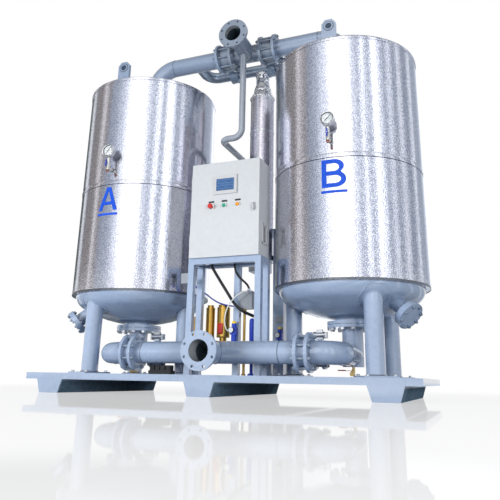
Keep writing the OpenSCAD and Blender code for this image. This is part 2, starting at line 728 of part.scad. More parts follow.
module purge_pipe() color([0.45, 0.53, 0.63]) {
    y = tower_y - 120;
    x = line_x - 210;
    end = heater_y + heater_r + 6;
    back = end + 105;
    p = [[line_x, y, outlet_z - pipe_r + 4], [line_x, y, 2290], [x, y, 2290], [x, back, 2290],
        [x, back, purge_z], [heater_x, back, purge_z], [heater_x, end, purge_z]];
    difference() {
        run(p, 30, 85);
        run(p, 26, 85, 1);
        run([[line_x, tower_y, outlet_z], [line_x, outlet_y, outlet_z]], pipe_r - 0.2 + clear, 10);
    }
}

module gauges() color([0.20, 0.21, 0.23]) towers() {
    translate([0, -jacket_r - 70 - 26, gauge_z]) rotate([-90, 0, 0]) difference() {
        cylinder(r = 55, h = 44);
        translate([0, 0, -1]) cylinder(r = 50, h = 7);
    }
    translate([0, -jacket_r - 70, gauge_z - 70]) cylinder(r = 9, h = 24);
}
module gauge_cocks() color([0.78, 0.62, 0.30]) towers() {
    translate([0, -jacket_r - 70, cock_z]) rotate([-90, 0, 0])
        cylinder(r = 13, h = jacket_r + 70 - vessel_r - 18);
    translate([0, -jacket_r - 70, cock_z - 20]) cylinder(r = 17, h = gauge_z - 70 - cock_z + 20);
    translate([0, -jacket_r - 70, cock_z + 35]) rotate([90, 0, 0]) cylinder(r = 11, h = 28);
    translate([0, -jacket_r - 70, cock_z + 35]) rotate([90, 0, 0]) cylinder(r = 4, h = 40);
}
module cock_handle() {
    translate([0, -jacket_r - 70 - 28, cock_z + 35]) rotate([90, 0, 0]) difference() {
        union() {
            cylinder(r = 10, h = 9);
            translate([-6, -32, 2]) cube([12, 64, 6]);
        }
        translate([0, 0, -1]) cylinder(r = 4 + fit, h = 20);
    }
}
module gauge_handle_a() color([0.10, 0.25, 0.70]) translate([-tower_x, tower_y, 0]) cock_handle();
module gauge_handle_b() color([0.10, 0.25, 0.70]) translate([tower_x, tower_y, 0]) cock_handle();

module port_covers() color([0.45, 0.53, 0.63]) for (s = [-1, 1]) translate([s * tower_x, tower_y, 0]) {
    at_port(s) disc(port_d, port_t, 8, port_pcd, 18);
    translate([s * top_port[0], top_port[1], top_port_z]) disc(port_d, port_t, 8, port_pcd, 18);
}

module closure_bolts() color([0.72, 0.74, 0.77]) towers() ring(12, seat_pcd)
    translate([0, 0, seat_z - gasket_t - seat_t]) screw(24, seat_t + gasket_t + 18);

module flange_studs() color([0.72, 0.74, 0.77]) {
    grip = valve_len + 2 * flange_t;
    for (x = [valve_ax, valve_bx]) along_x([x - grip / 2, header_y, header_z])
        ring(8, flange_pcd) stud(20, grip, 24);
    grip2 = check_len + 2 * flange_t;
    for (x = [chk_ax, chk_bx]) along_x([x - grip2 / 2, tower_y, outlet_z])
        ring(8, flange_pcd) stud(20, grip2, 24);
    towers() translate([0, 0, neck_z]) ring(8, flange_pcd) stud(20, 2 * flange_t + gasket_t, 22);
}
module port_bolts() color([0.72, 0.74, 0.77]) {
    for (s = [-1, 1]) translate([s * tower_x, tower_y, 0]) {
        at_port(s) translate([0, 0, -port_t]) ring(8, port_pcd) stud(16, 2 * port_t, 20);
        translate([s * top_port[0], top_port[1], top_port_z - port_t])
            ring(8, port_pcd) stud(16, 2 * port_t, 20);
    }
    grip = exhaust_len + 40;
    for (x = [exh_ax, exh_bx]) along_x([x - grip / 2, exhaust_y, header_z])
        ring(8, 180) stud(16, grip, 20);
}

// heights of the two door hinges
hinge_z = [cab_z + 90, cab_z + cab_h - 210];
module knuckle(z) { translate([cab_l - hinge_r, hinge_y, z]) cylinder(r = hinge_r, h = hinge_h); }

module cabinet_shell() color([0.80, 0.81, 0.80]) {
    difference() {
        translate([cab_l, cab_y + door_t, cab_z]) cube([cab_w, cab_d - door_t, cab_h]);
        translate([cab_l + cab_sheet, cab_y + door_t - 1, cab_z + cab_sheet])
            cube([cab_w - 2 * cab_sheet, cab_d - door_t + 1 - cab_sheet, cab_h - 2 * cab_sheet]);
        for (k = [0:9]) translate([cab_r - 5, cab_y + 90, cab_z + 130 + k * 12]) cube([10, 60, 6]);
    }
    for (z = hinge_z) {
        for (k = [0, 2]) knuckle(z + k * hinge_h);
        for (k = [0, 2]) translate([cab_l - hinge_r, cab_y + door_t, z + k * hinge_h])
            cube([hinge_r, 26, hinge_h]);
        translate([cab_l - hinge_r, hinge_y, z]) cylinder(r = hinge_pin, h = 3 * hinge_h);
    }
}
module cabinet_door() color([0.82, 0.83, 0.82]) {
    rim = door_t - door_gap;
    difference() {
        union() {
            translate([cab_l, cab_y, cab_z]) cube([cab_w, rim, cab_h]);
            for (x = button_x) along_y([x, cab_y - collar_t, button_z]) cylinder(r = 17, h = collar_t + 1);
        }
        translate([cab_l + cab_sheet, cab_y + cab_sheet, cab_z + cab_sheet])
            cube([cab_w - 2 * cab_sheet, door_t, cab_h - 2 * cab_sheet]);
        for (x = button_x) along_y([x, cab_y - collar_t - 1, button_z]) cylinder(r = button_hole, h = 20);
        along_y([lock_x, cab_y - 1, lock_z]) cylinder(r = button_hole, h = 10);
    }
    for (z = hinge_z) difference() {
        translate([0, 0, z + hinge_h + clear]) leaf(hinge_h - 2 * clear);
        translate([cab_l - hinge_r, hinge_y, z]) cylinder(r = hinge_pin + fit, h = 3 * hinge_h);
    }
}
// door half of a hinge, ending at the edge of the door
module leaf(h) {
    translate([cab_l - hinge_r, hinge_y, 0]) cylinder(r = hinge_r, h = h);
    translate([cab_l - hinge_r, cab_y + 4, 0]) cube([hinge_r, door_t - door_gap - 4, h]);
}
module cabinet_stand() color([0.62, 0.66, 0.70]) {
    t = stand_tube;
    for (x = [post_l, post_r]) for (y = [post_y1, post_y2]) translate([x - t / 2, y - t / 2, deck_z]) {
        difference() {
            cube([t, t, cab_z - deck_z - t]);
            translate([4, 4, -1]) cube([t - 8, t - 8, cab_z - deck_z - t]);
        }
    }
    for (y = [post_y1, post_y2]) translate([post_l - t / 2, y - t / 2, cab_z - t])
        cube([post_r - post_l + t, t, t]);
    for (x = [post_l, post_r]) translate([x - t / 2, post_y1 + t / 2, cab_z - t])
        cube([t, post_y2 - post_y1 - t, t]);
    translate([post_m - t / 2, post_y2 - t / 2, deck_z]) cube([t, t, cab_z - deck_z - t]);
}
module mounting_plate() color([0.85, 0.60, 0.25])
    translate([cab_l + 40, cab_y + cab_d - cab_sheet - 3, cab_z + 40])
        cube([cab_w - 80, 3, cab_h - 80]);

module screen_panel() color([0.20, 0.22, 0.25])
    translate([cab_l + 210, cab_y - 8, cab_z + 530]) cube([210, 8, 165]);
// a cap in front of its collar on a stem through the door
module knob(x, r, h, lift) {
    along_y([x, cab_y - collar_t - lift - h, button_z]) cylinder(r = r, h = h);
    along_y([x, cab_y - collar_t - lift - 1, button_z]) cylinder(r = button_hole - fit, h = 20);
}
module estop_button() color([0.80, 0.08, 0.08]) knob(button_x[0], 20, 24, 6);
module push_button() color([0.10, 0.60, 0.20]) knob(button_x[1], 15, 9, 5);
module signal_lamp() color([0.95, 0.60, 0.10]) knob(button_x[2], 15, 12, 0);
module door_lock() color([0.85, 0.86, 0.87]) {
    along_y([lock_x, cab_y - 12, lock_z]) cylinder(r = 14, h = 12);
    translate([lock_x - 8, cab_y - 20, lock_z - 30]) cube([16, 8, 60]);
    along_y([lock_x, cab_y - 2, lock_z]) cylinder(r = button_hole - fit, h = 14);
}

module solenoid_block() color([0.07, 0.07, 0.08]) {
    translate([line_x - 580, header_y + 20, deck_z]) cube([200, 70, 30]);
    for (k = [0:3]) translate([line_x - 572 + k * 48, header_y + 26, deck_z + 30])
        cube([40, 58, 40]);
}
module regulator() {
    translate([-25, -60, 0]) cube([50, 50, 56]);
    translate([0, -35, -70]) cylinder(r = 22, h = 71);
    translate([0, -35, 55]) cylinder(r = 20, h = 34);
    translate([-10, -11, 10]) cube([20, 11, 30]);
}
module air_regulators() color([0.10, 0.25, 0.65]) {
    translate([post_m, post_y2 - stand_tube / 2, 470]) regulator();
    translate([heater_post_x + 30, heater_y - heater_post_w / 2, 470]) regulator();
}

// a box with its lid at the front
module terminal_box(w, d, h) {
    translate([0, 8, 2]) cube([w, d - 8, h - 4]);
    cube([w, 9, h]);
}
module junction_boxes() color([0.72, 0.74, 0.76]) {
    half = stand_tube / 2;
    translate([post_m + half, post_y2 - half - 5, 676]) terminal_box(112, 60, 150);
    translate([heater_post_x - 15, heater_y - heater_post_w / 2 - 30, 618]) terminal_box(64, 30, 54);
    translate([post_l - half - 62, post_y1 - half, 880]) terminal_box(62, 50, 84);
}

// points of the flexible lines
conduit_path = [[-100, -390, cab_z], [-100, -390, 1066], [-99, -390, 1050], [-95.5, -390, 1035],
    [-90, -390, 1020], [-82, -389, 1006], [-55, -388, 964], [-22, -385, 913], [33, -378, 829],
    [80, -366, 754], [104, -360, 721], [128, -356, 694], [154, -350, 671], [180, -337, 654],
    [202, -315, 642], [217, -286, 634], [223, -250, 630], [224, -205, 630], [218, -155, 638],
    [208, -95, 656], [192, -25, 692], [165, 50, 746], [132, 125, 820], [102, 190, 908],
    [82, 231, 985], [heater_x, 248, 1035], [heater_x, 250, 1070],
    [heater_x, 250, heater_low - 124]];
tube_path = [[post_l - 56, -440, 925], [post_l - 56, -405, 925], [-292, -340, 908],
    [-290, -305, 890], [-279, -270, 868], [-252, -243, 845], [-205, -233, 818],
    [-160, -237, 785], [-100, -246, 751], [-55, -248, 734], [-15, -240, 723], [18, -225, 718],
    [36, -218, 716], [55, -215, 715], [71, -217, 715], [85, -224, 715], [96, -235, 715],
    [103, -249, 715], [post_m, -264, 715], [post_m, post_y2 + stand_tube / 2, 715]];
// flexible line along a list of points
module flex(path, r, sides) {
    n = len(path);
    pts = [for (i = [0:n - 1]) let (
        a = path[max(i - 1, 0)], b = path[min(i + 1, n - 1)], d = unit(b - a),
        u = unit(cross(d, abs(d[1]) > 0.9 ? [1, 0, 0] : [0, 1, 0])), v = cross(d, u))
        for (k = [0:sides - 1]) path[i] + r * (cos(360 * k / sides) * u + sin(360 * k / sides) * v)];
    faces = concat([[for (k = [0:sides - 1]) k]],
        [for (i = [0:n - 2]) for (k = [0:sides - 1]) [i * sides + k, (i + 1) * sides + k,
            (i + 1) * sides + (k + 1) % sides, i * sides + (k + 1) % sides]],
        [[for (k = [0:sides - 1]) (n - 1) * sides + sides - 1 - k]]);
    polyhedron(pts, faces);
}
module conduit() color([0.08, 0.08, 0.09]) flex(conduit_path, conduit_r, 10);
module air_tube() color([0.10, 0.30, 0.75]) flex(tube_path, tube_r, 8);

skid_frame();
skid_feet();
vessel_a();
vessel_b();
vessel_legs();
jackets_lower();
jackets_upper();
jacket_caps();
insulation();
desiccant_beds();
bed_supports();
closure_gaskets();
inlet_header();
inlet_valves();
inlet_disc_a();
inlet_disc_b();
inlet_riser_a();
inlet_riser_b();
exhaust_manifold();
exhaust_valves();
exhaust_disc_a();
exhaust_disc_b();
actuators();
silencers();
drain_valves();
drain_lever_a();
drain_lever_b();
outlet_header();
outlet_pipe_a();
outlet_pipe_b();
check_valves();
check_disc_a();
check_disc_b();
regen_manifold();
heater_casing();
heater_elements();
heater_post();
purge_pipe();
gauges();
gauge_cocks();
gauge_handle_a();
gauge_handle_b();
port_covers();
closure_bolts();
flange_studs();
port_bolts();
cabinet_shell();
cabinet_door();
cabinet_stand();
mounting_plate();
screen_panel();
estop_button();
push_button();
signal_lamp();
door_lock();
solenoid_block();
air_regulators();
junction_boxes();
conduit();
air_tube();
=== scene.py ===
import json
import math

import bmesh
import bpy
from mathutils import Matrix, Vector, noise


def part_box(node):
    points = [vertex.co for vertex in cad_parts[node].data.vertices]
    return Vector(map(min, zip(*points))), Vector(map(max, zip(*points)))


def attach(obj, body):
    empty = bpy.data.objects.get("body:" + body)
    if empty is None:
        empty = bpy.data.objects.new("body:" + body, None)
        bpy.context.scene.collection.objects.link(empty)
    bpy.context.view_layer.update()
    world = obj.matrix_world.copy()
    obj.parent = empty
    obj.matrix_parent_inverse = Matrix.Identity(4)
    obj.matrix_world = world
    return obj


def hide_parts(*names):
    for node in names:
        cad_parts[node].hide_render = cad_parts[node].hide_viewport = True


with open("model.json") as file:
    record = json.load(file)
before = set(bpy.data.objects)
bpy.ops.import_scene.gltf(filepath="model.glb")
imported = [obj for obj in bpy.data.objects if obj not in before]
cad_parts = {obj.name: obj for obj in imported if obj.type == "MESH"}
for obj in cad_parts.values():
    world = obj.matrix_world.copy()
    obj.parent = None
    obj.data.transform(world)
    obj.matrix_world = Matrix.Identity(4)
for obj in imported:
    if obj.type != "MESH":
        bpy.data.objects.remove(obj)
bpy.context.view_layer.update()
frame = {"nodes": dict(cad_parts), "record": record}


# Places read from the frame, in metres

def middle(node):
    low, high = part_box(node)
    return (low + high) / 2


skid_low, skid_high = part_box("skid_frame")
jacket_low, jacket_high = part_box("jackets_lower")
door_low, door_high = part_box("cabinet_door")
shell_low, shell_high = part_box("cabinet_shell")
gauge_low, gauge_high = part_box("gauges")
screen_low, screen_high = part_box("screen_panel")

JACKET_RADIUS = (jacket_high.y - jacket_low.y) / 2
TOWER_Y = (jacket_high.y + jacket_low.y) / 2
TOWER_X = (jacket_high.x - jacket_low.x) / 2 - JACKET_RADIUS
TOWERS = {"a": -TOWER_X, "b": TOWER_X}
JACKET_BOTTOM, SEAM_Z, JACKET_TOP = jacket_low.z, jacket_high.z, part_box("jackets_upper")[1].z
DOOR_FRONT = screen_high.y


# Node helpers

def connect(tree, socket, value):
    """A socket is linked, anything else is set, and None leaves the input alone."""
    if isinstance(value, bpy.types.NodeSocket):
        tree.links.new(value, socket)
    elif value is not None:
        socket.default_value = value


def plug(tree, node, **inputs):
    for key, value in inputs.items():
        connect(tree, node.inputs[key.replace("_", " ")], value)
    return node


def add(tree, kind, settings=None, **inputs):
    """Add a shader node with its own settings and its inputs."""
    node = tree.nodes.new("ShaderNode" + kind)
    for key, value in (settings or {}).items():
        setattr(node, key, value)
    return plug(tree, node, **inputs)


def object_place(tree):
    return add(tree, "TexCoord").outputs["Object"]


def arithmetic(tree, operation, first, second, clamp=False):
    node = add(tree, "Math", {"operation": operation, "use_clamp": clamp})
    for socket, value in zip(node.inputs, (first, second)):
        connect(tree, socket, value)
    return node.outputs[0]


def fade(tree, value, start, end, low=0.0, high=1.0, kind="LINEAR"):
    """Carry a value from start..end over to low..high."""
    return add(tree, "MapRange", {"interpolation_type": kind}, Value=value, From_Min=start, From_Max=end,
               To_Min=low, To_Max=high).outputs["Result"]


def blend(tree, factor, first, second, kind="MIX"):
    """Mix two colours."""
    return add(tree, "Mix", {"data_type": "RGBA", "blend_type": kind},
               Factor=factor, A=first, B=second).outputs["Result"]


def mix_shaders(tree, factor, first, second):
    node = add(tree, "MixShader", Fac=factor)
    tree.links.new(first, node.inputs[1])
    tree.links.new(second, node.inputs[2])
    return node.outputs[0]


def grey(value):
    return (value, value, value)


def ramp(tree, factor, *stops):
    """Colours along a factor, from stops of a position with a colour or a grey level."""
    node = add(tree, "ValToRGB", Fac=factor)
    elements = node.color_ramp.elements
    while len(elements) < len(stops):
        elements.new(0.5)
    for element, (position, colour) in zip(elements, stops):
        element.position = position
        element.color = (*(colour if isinstance(colour, tuple) else grey(colour)), 1)
    return node.outputs["Color"]


def bumps(tree, height, strength, distance, invert=False, normal=None):
    """The normal of a surface with that height on it."""
    return add(tree, "Bump", {"invert": invert}, Height=height, Strength=strength, Distance=distance,
               Normal=normal).outputs["Normal"]


def new_material(name):
    material = bpy.data.materials.new(name)
    material.use_nodes = True
    tree = material.node_tree
    return material, tree, tree.nodes["Principled BSDF"]


def new_group(name, output, **inputs):
    """A node group of numbers: its tree, what it is given and the socket for its result."""
    tree = bpy.data.node_groups.new(name, "ShaderNodeTree")
    for label, value in inputs.items():
        tree.interface.new_socket(label, in_out="INPUT", socket_type="NodeSocketFloat").default_value = value
    tree.interface.new_socket(output, in_out="OUTPUT", socket_type="NodeSocketFloat")
    given = tree.nodes.new("NodeGroupInput").outputs
    return tree, given, tree.nodes.new("NodeGroupOutput").inputs[output]


def effect(tree, group, **inputs):
    """The result of a shared effect."""
    return add(tree, "Group", {"node_tree": group}, **inputs).outputs[0]


# Shared surface effects

def mottle_group():
    """Two sizes of soft cloud, from 0 to 1, for paint and metal that isn't perfectly even."""
    tree, given, result = new_group("mottle", "Cloud", Coarse=3.0, Fine=40.0)
    place = object_place(tree)
    clouds = [
        add(tree, "TexNoise", Vector=place, Scale=given[label], Detail=detail, Roughness=0.55).outputs["Fac"]
        for label, detail in (("Coarse", 4.0), ("Fine", 2.0))]
    tree.links.new(arithmetic(tree, "MULTIPLY", arithmetic(tree, "ADD", *clouds), 0.5), result)
    return tree


def skin_group():
    """The fine skin of sprayed paint as a height."""
    tree, given, result = new_group("paint_skin", "Height", Scale=400.0)
    skin = add(tree, "TexNoise", Vector=object_place(tree), Scale=given["Scale"], Detail=1.0, Roughness=0.4)
    tree.links.new(skin.outputs["Fac"], result)
    return tree


def floor_dust_group():
    """A mask that is 1 near the floor and fades out with height."""
    tree, given, result = new_group("floor_dust", "Dust", Reach=0.6)
    place = object_place(tree)
    level = arithmetic(tree, "DIVIDE", add(tree, "SeparateXYZ", Vector=place).outputs["Z"], given["Reach"])
    near = arithmetic(tree, "SUBTRACT", 1.0, level, clamp=True)
    patch = add(tree, "TexNoise", Vector=place, Scale=9.0, Detail=3.0).outputs["Fac"]
    tree.links.new(arithmetic(tree, "MULTIPLY", near, patch), result)
    return tree


MOTTLE = mottle_group()
PAINT_SKIN = skin_group()
FLOOR_DUST = floor_dust_group()


# Finishes

DUST_COLOUR = (0.36, 0.36, 0.35, 1)
# height below which the skid's fork pockets get painted shade
POCKET_TOP = 0.100


def pocket_painted_shade(tree, colour, cloud):
    """Painted shade in the fork pockets: a dark colour on what lies low and behind the skid's front face, and
    the share that stays unshaded.
    """
    split = add(tree, "SeparateXYZ", Vector=object_place(tree)).outputs
    behind = fade(tree, split["Y"], skid_low.y + 0.004, skid_low.y + 0.020)
    below = fade(tree, split["Z"], POCKET_TOP + 0.004, POCKET_TOP - 0.012)
    shade_share = arithmetic(tree, "MULTIPLY", behind, below)
    # painted shade: a mottled dark teal where the pockets lie in shade
    shade_colour = ramp(tree, cloud, (0.38, (0.058, 0.115, 0.155)), (0.62, (0.14, 0.21, 0.29)))
    shaded_tone = blend(tree, arithmetic(tree, "MULTIPLY", shade_share, 0.9), colour, shade_colour)
    return shaded_tone, arithmetic(tree, "SUBTRACT", 1.0, shade_share)


def painted(name, colour, shade, roughness=0.28, skin=420.0, depth=0.00025, coat=0.9, hollow=False):
    """Sprayed gloss paint: colour wanders a little towards shade, with dust low down.

    hollow is for the skid, whose fork pockets get painted shade behind its front face, with less coat and
    sheen there.
    """
    material, tree, shader = new_material(name)
    cloud = effect(tree, MOTTLE, Coarse=2.5, Fine=30.0)
    dust = arithmetic(tree, "MULTIPLY", effect(tree, FLOOR_DUST, Reach=0.5), 0.25)
    tone = blend(tree, dust, ramp(tree, cloud, (0.36, shade), (0.62, colour)), DUST_COLOUR)
    if hollow:
        # painted shade in the skid's fork pockets, which also lose their coat and sheen there
        tone, lit_share = pocket_painted_shade(tree, tone, cloud)
        coat = arithmetic(tree, "MULTIPLY", lit_share, coat)
        plug(tree, shader, Specular_IOR_Level=arithmetic(tree, "MULTIPLY", lit_share, 0.5))
    plug(tree, shader, Base_Color=tone, Coat_Weight=coat, Coat_Roughness=0.07, Coat_IOR=1.7,
         Roughness=ramp(tree, cloud, (0.35, roughness + 0.08), (0.65, roughness - 0.04)),
         Normal=bumps(tree, effect(tree, PAINT_SKIN, Scale=skin), 0.35, depth))
    return material


def stucco_cells(tree, scale):
    """The rolled pattern, as the distance from the middle of each bump."""
    return add(tree, "TexVoronoi", {"feature": "SMOOTH_F1"}, Vector=object_place(tree), Scale=scale,
               Smoothness=0.35, Randomness=0.9).outputs["Distance"]


def stucco_sheet(name, colour=(0.94, 0.94, 0.95), cell=104.0, shift=0.0, wave=0.005, roughness=0.12):
    """Aluminium cladding rolled with a stucco pattern, slightly wavy where it was bent round the tower."""
    material, tree, shader = new_material(name)
    cells = stucco_cells(tree, cell)
    red, green, blue = colour
    bright = ramp(tree, cells, (0.22, colour), (0.58, (0.62 * red, 0.62 * green, 0.70 * blue)))
    patches = ramp(tree, effect(tree, MOTTLE, Coarse=40.0, Fine=95.0), (0.40, 0.86), (0.56, 1.0))
    cloud = effect(tree, MOTTLE, Coarse=1.6, Fine=24.0)
    tall = add(tree, "Mapping", Vector=object_place(tree), Location=(shift, 2 * shift, shift),
               Scale=(1, 1, 0.035))
    ripple = add(tree, "TexNoise", Vector=tall.outputs["Vector"], Scale=6.5, Detail=1.5, Roughness=0.5)
    rolled = bumps(tree, ripple.outputs["Fac"], 0.8, wave)
    plug(tree, shader, Base_Color=blend(tree, 1.0, bright, patches, "MULTIPLY"), Metallic=1.0,
         Roughness=ramp(tree, cloud, (0.35, roughness + 0.08), (0.65, roughness - 0.05)),
         Normal=bumps(tree, cells, 0.36, 0.0012, invert=True, normal=rolled))
    return material


def plain_metal(name, colour, roughness, streak=0.0):
    """Bare or plated metal with fine scratches, and long vertical streaks where streak is set."""
    material, tree, shader = new_material(name)
    cloud = grain = effect(tree, MOTTLE, Coarse=9.0, Fine=160.0)
    if streak:
        tall = add(tree, "Mapping", Vector=object_place(tree), Scale=(1, 1, 0.03))
        grain = add(tree, "TexNoise", Vector=tall.outputs["Vector"], Scale=55.0, Detail=3.0).outputs["Fac"]
    low = tuple((0.7 - 0.25 * streak) * part for part in colour)
    plug(tree, shader, Base_Color=ramp(tree, grain, (0.32, low), (0.66, colour)), Metallic=1.0,
         Roughness=ramp(tree, cloud, (0.35, roughness + 0.1), (0.65, max(roughness - 0.05, 0.03))),
         Normal=bumps(tree, cloud, 0.15, 0.0003))
    return material


def moulded(name, colour, roughness=0.35, grain=700.0):
    """Moulded plastic or rubber with a fine grain."""
    material, tree, shader = new_material(name)
    cloud = effect(tree, MOTTLE, Coarse=14.0, Fine=grain * 0.4)
    low = tuple(0.82 * part for part in colour)
    plug(tree, shader, Base_Color=ramp(tree, cloud, (0.3, low), (0.65, colour)),
         Roughness=ramp(tree, cloud, (0.3, roughness + 0.1), (0.7, roughness)),
         Normal=bumps(tree, effect(tree, PAINT_SKIN, Scale=grain), 0.25, 0.0002))
    return material


def letter_film():
    """Blue film pressed on to the stucco sheet, so the pattern shows through."""
    material, tree, shader = new_material("letter_film")
    cells = stucco_cells(tree, 78.0)
    plug(tree, shader, Roughness=0.42,
         Base_Color=ramp(tree, cells, (0.15, (0.006, 0.10, 0.74)), (0.6, (0.004, 0.065, 0.52))),
         Normal=bumps(tree, cells, 0.3, 0.0010, invert=True))
    return material


def crumpled_foil():
    material, tree, shader = new_material("crumpled_foil")
    creases = add(tree, "TexVoronoi", {"feature": "DISTANCE_TO_EDGE"}, Vector=object_place(tree),
                  Scale=17.0).outputs["Distance"]
    plug(tree, shader, Metallic=1.0,
         Base_Color=ramp(tree, creases, (0.0, (0.96, 0.96, 0.97)), (0.25, (0.80, 0.81, 0.84))),
         Roughness=ramp(tree, creases, (0.0, 0.32), (0.3, 0.16)),
         Normal=bumps(tree, creases, 0.7, 0.008))
    return material


def lit_screen():
    """A touch screen showing plain blue fields."""
    material, tree, shader = new_material("lit_screen")
    turn = add(tree, "Mapping", Vector=object_place(tree), Rotation=(math.radians(90), 0, 0))
    fields = add(tree, "TexBrick", {"offset": 0.35, "squash": 0.8}, Vector=turn.outputs["Vector"],
                 Color1=(0.022, 0.080, 0.225, 1), Color2=(0.036, 0.112, 0.28, 1),
                 Mortar=(0.075, 0.16, 0.32, 1), Scale=9.0, Mortar_Size=0.03, Row_Height=0.22,
                 Brick_Width=0.6).outputs["Color"]
    plug(tree, shader, Base_Color=fields, Emission_Color=fields, Roughness=0.12, Emission_Strength=0.10)
    return material


def clear_glass():
    material, tree, shader = new_material("clear_glass")
    cloud = effect(tree, MOTTLE, Coarse=20.0, Fine=200.0)
    plug(tree, shader, Base_Color=(0.98, 0.99, 0.99, 1), Transmission_Weight=1.0, IOR=1.2,
         Roughness=ramp(tree, cloud, (0.3, 0.03), (0.7, 0.0)))
    return material


BLUE_GREY, BLUE_GREY_SHADE = (0.305, 0.395, 0.55), (0.265, 0.345, 0.49)
PAINT = painted("blue_grey_paint", BLUE_GREY, BLUE_GREY_SHADE)
CABINET = painted(
    "light_grey_powder_coat", (0.575, 0.60, 0.62), (0.54, 0.565, 0.59), 0.42, 900.0, 0.0003, 0.3)
# the skid's paint carries painted shade in its fork pockets
SKID_PAINT = painted("skid_paint", BLUE_GREY, BLUE_GREY_SHADE, hollow=True)
STUD = painted("painted_stud", (0.22, 0.285, 0.385), (0.16, 0.215, 0.30), 0.18)
# Painted shade: darker, greyer copies of the blue-grey paint for the pipework high up, where less light falls
UPPER_PAINT_SHADED = painted("upper_pipe_paint_shaded", (0.245, 0.305, 0.40), (0.20, 0.255, 0.34), 0.24)
PURGE_PAINT_SHADED = painted("purge_pipe_paint_shaded", (0.32, 0.36, 0.425), (0.27, 0.305, 0.365), 0.26)
VALVE = painted("valve_paint", (0.20, 0.275, 0.39), (0.165, 0.23, 0.335), 0.3)
# Painted shade: the bores are dark deeper in, for the shade inside the pipes; their mouths keep a plain grey
BORE_SHADE = painted("pipe_bore", (0.050, 0.085, 0.105), (0.035, 0.060, 0.075), 0.45, coat=0.2)
BORE_MOUTH = painted("pipe_bore_mouth", (0.40, 0.43, 0.46), (0.33, 0.36, 0.39), 0.3)
# Painted shade: the blue-grey paint made dark on weld beads, fillets and eye rings, for the shade in the
# crevices along them
WELD_SHADED = painted("weld_paint_shaded", (0.11, 0.145, 0.21), (0.08, 0.11, 0.165), 0.4, 600.0, 0.0008)

STUCCO = stucco_sheet("stucco_aluminium_lower_course")
STUCCO_UPPER = stucco_sheet("stucco_aluminium_upper_course", shift=3.7)
HEATER_STUCCO = stucco_sheet("heater_stucco_aluminium", (0.80, 0.77, 0.78), 110.0, 0.0, 0.004, 0.28)

PIPE_CLAD = plain_metal("hot_line_cladding", (0.37, 0.44, 0.54), 0.40)
CLAD = plain_metal("smooth_aluminium_cladding", (0.74, 0.75, 0.78), 0.30)
STEEL = plain_metal("plain_steel", (0.62, 0.63, 0.65), 0.3)
ZINC = plain_metal("zinc_plating", (0.72, 0.75, 0.80), 0.26)
ANODISED = plain_metal("anodised_aluminium", (0.66, 0.68, 0.71), 0.32)
GOLD = plain_metal("yellow_zinc_plating", (0.76, 0.47, 0.11), 0.3, 0.8)
GALVANISED = plain_metal("galvanised_plate", (0.40, 0.41, 0.43), 0.5)
BRASS = plain_metal("brass", (0.74, 0.55, 0.24), 0.25)
CHROME = plain_metal("polished_steel", (0.78, 0.79, 0.80), 0.1)
# Painted shade: the crimped rims and closing rings under the jackets are dark grey for the shade along the
# jackets' lower edge
CRIMP_SHADE = plain_metal("crimped_edge_shaded", (0.20, 0.21, 0.23), 0.35)
NICKEL = plain_metal("nickel_plating", (0.70, 0.68, 0.63), 0.22)
COPPER = plain_metal("copper_tip", (0.52, 0.24, 0.15), 0.3)

BOX_GREY = moulded("box_grey", (0.30, 0.33, 0.37), 0.4)
GASKET = moulded("gasket_sheet", (0.03, 0.035, 0.06), 0.6)
WOOL = moulded("mineral_wool", (0.62, 0.55, 0.30), 0.9, 300.0)
BEADS = moulded("desiccant_beads", (0.82, 0.82, 0.78), 0.7, 200.0)
RED = moulded("red_plastic", (0.62, 0.03, 0.025), 0.22)
GREEN = moulded("green_plastic", (0.01, 0.36, 0.22), 0.22)
AMBER = moulded("amber_plastic", (0.80, 0.33, 0.02), 0.18)
BLUE = moulded("blue_plastic", (0.015, 0.05, 0.42), 0.3)
BLACK = moulded("black_plastic", (0.018, 0.018, 0.02), 0.4)
GREY = moulded("grey_plastic", (0.48, 0.50, 0.52), 0.4)
YELLOW = moulded("yellow_plastic", (0.85, 0.62, 0.02), 0.3)
PANEL_GREY = moulded("panel_grey", (0.60, 0.61, 0.63), 0.35)
DIAL = moulded("dial_white", (0.64, 0.67, 0.70), 0.5)
PLUG = moulded("lug_plug", (0.030, 0.055, 0.10), 0.4)
CONDUIT = moulded("conduit_rubber", (0.014, 0.014, 0.016), 0.45)
TUBE = moulded("blue_tube", (0.02, 0.07, 0.45), 0.25)
PALE_TUBE = moulded("pale_tube", (0.72, 0.74, 0.74), 0.3)

LETTER_FILM = letter_film()
FOIL = crumpled_foil()
SCREEN = lit_screen()
GLASS = clear_glass()

FINISH_OF_SLOT = {
    "paint": PAINT, "cladding": STUCCO, "wool": WOOL, "beads": BEADS, "steel": STEEL, "gasket": GASKET,
    "anodised": ANODISED, "brass": BRASS, "red_plastic": RED, "blue_plastic": BLUE, "green_plastic": GREEN,
    "amber_plastic": AMBER, "grey_plastic": GREY, "black_plastic": BLACK, "fastener": ZINC,
    "cabinet_paint": CABINET, "black_rubber": CONDUIT, "blue_rubber": TUBE,
}
FINISH_OF_NODE = {
    "skid_frame": SKID_PAINT, "skid_feet": SKID_PAINT, "regen_manifold": PIPE_CLAD,
    "junction_boxes": BOX_GREY, "mounting_plate": GALVANISED, "heater_casing": HEATER_STUCCO,
    "silencers": GOLD, "jackets_upper": STUCCO_UPPER, "flange_studs": STUD, "port_bolts": STUD,
    # the outlet header, check valves and purge pipe take the paint copies with painted shade
    "gauge_cocks": NICKEL, "outlet_header": UPPER_PAINT_SHADED, "check_valves": UPPER_PAINT_SHADED,
    "purge_pipe": PURGE_PAINT_SHADED,
}


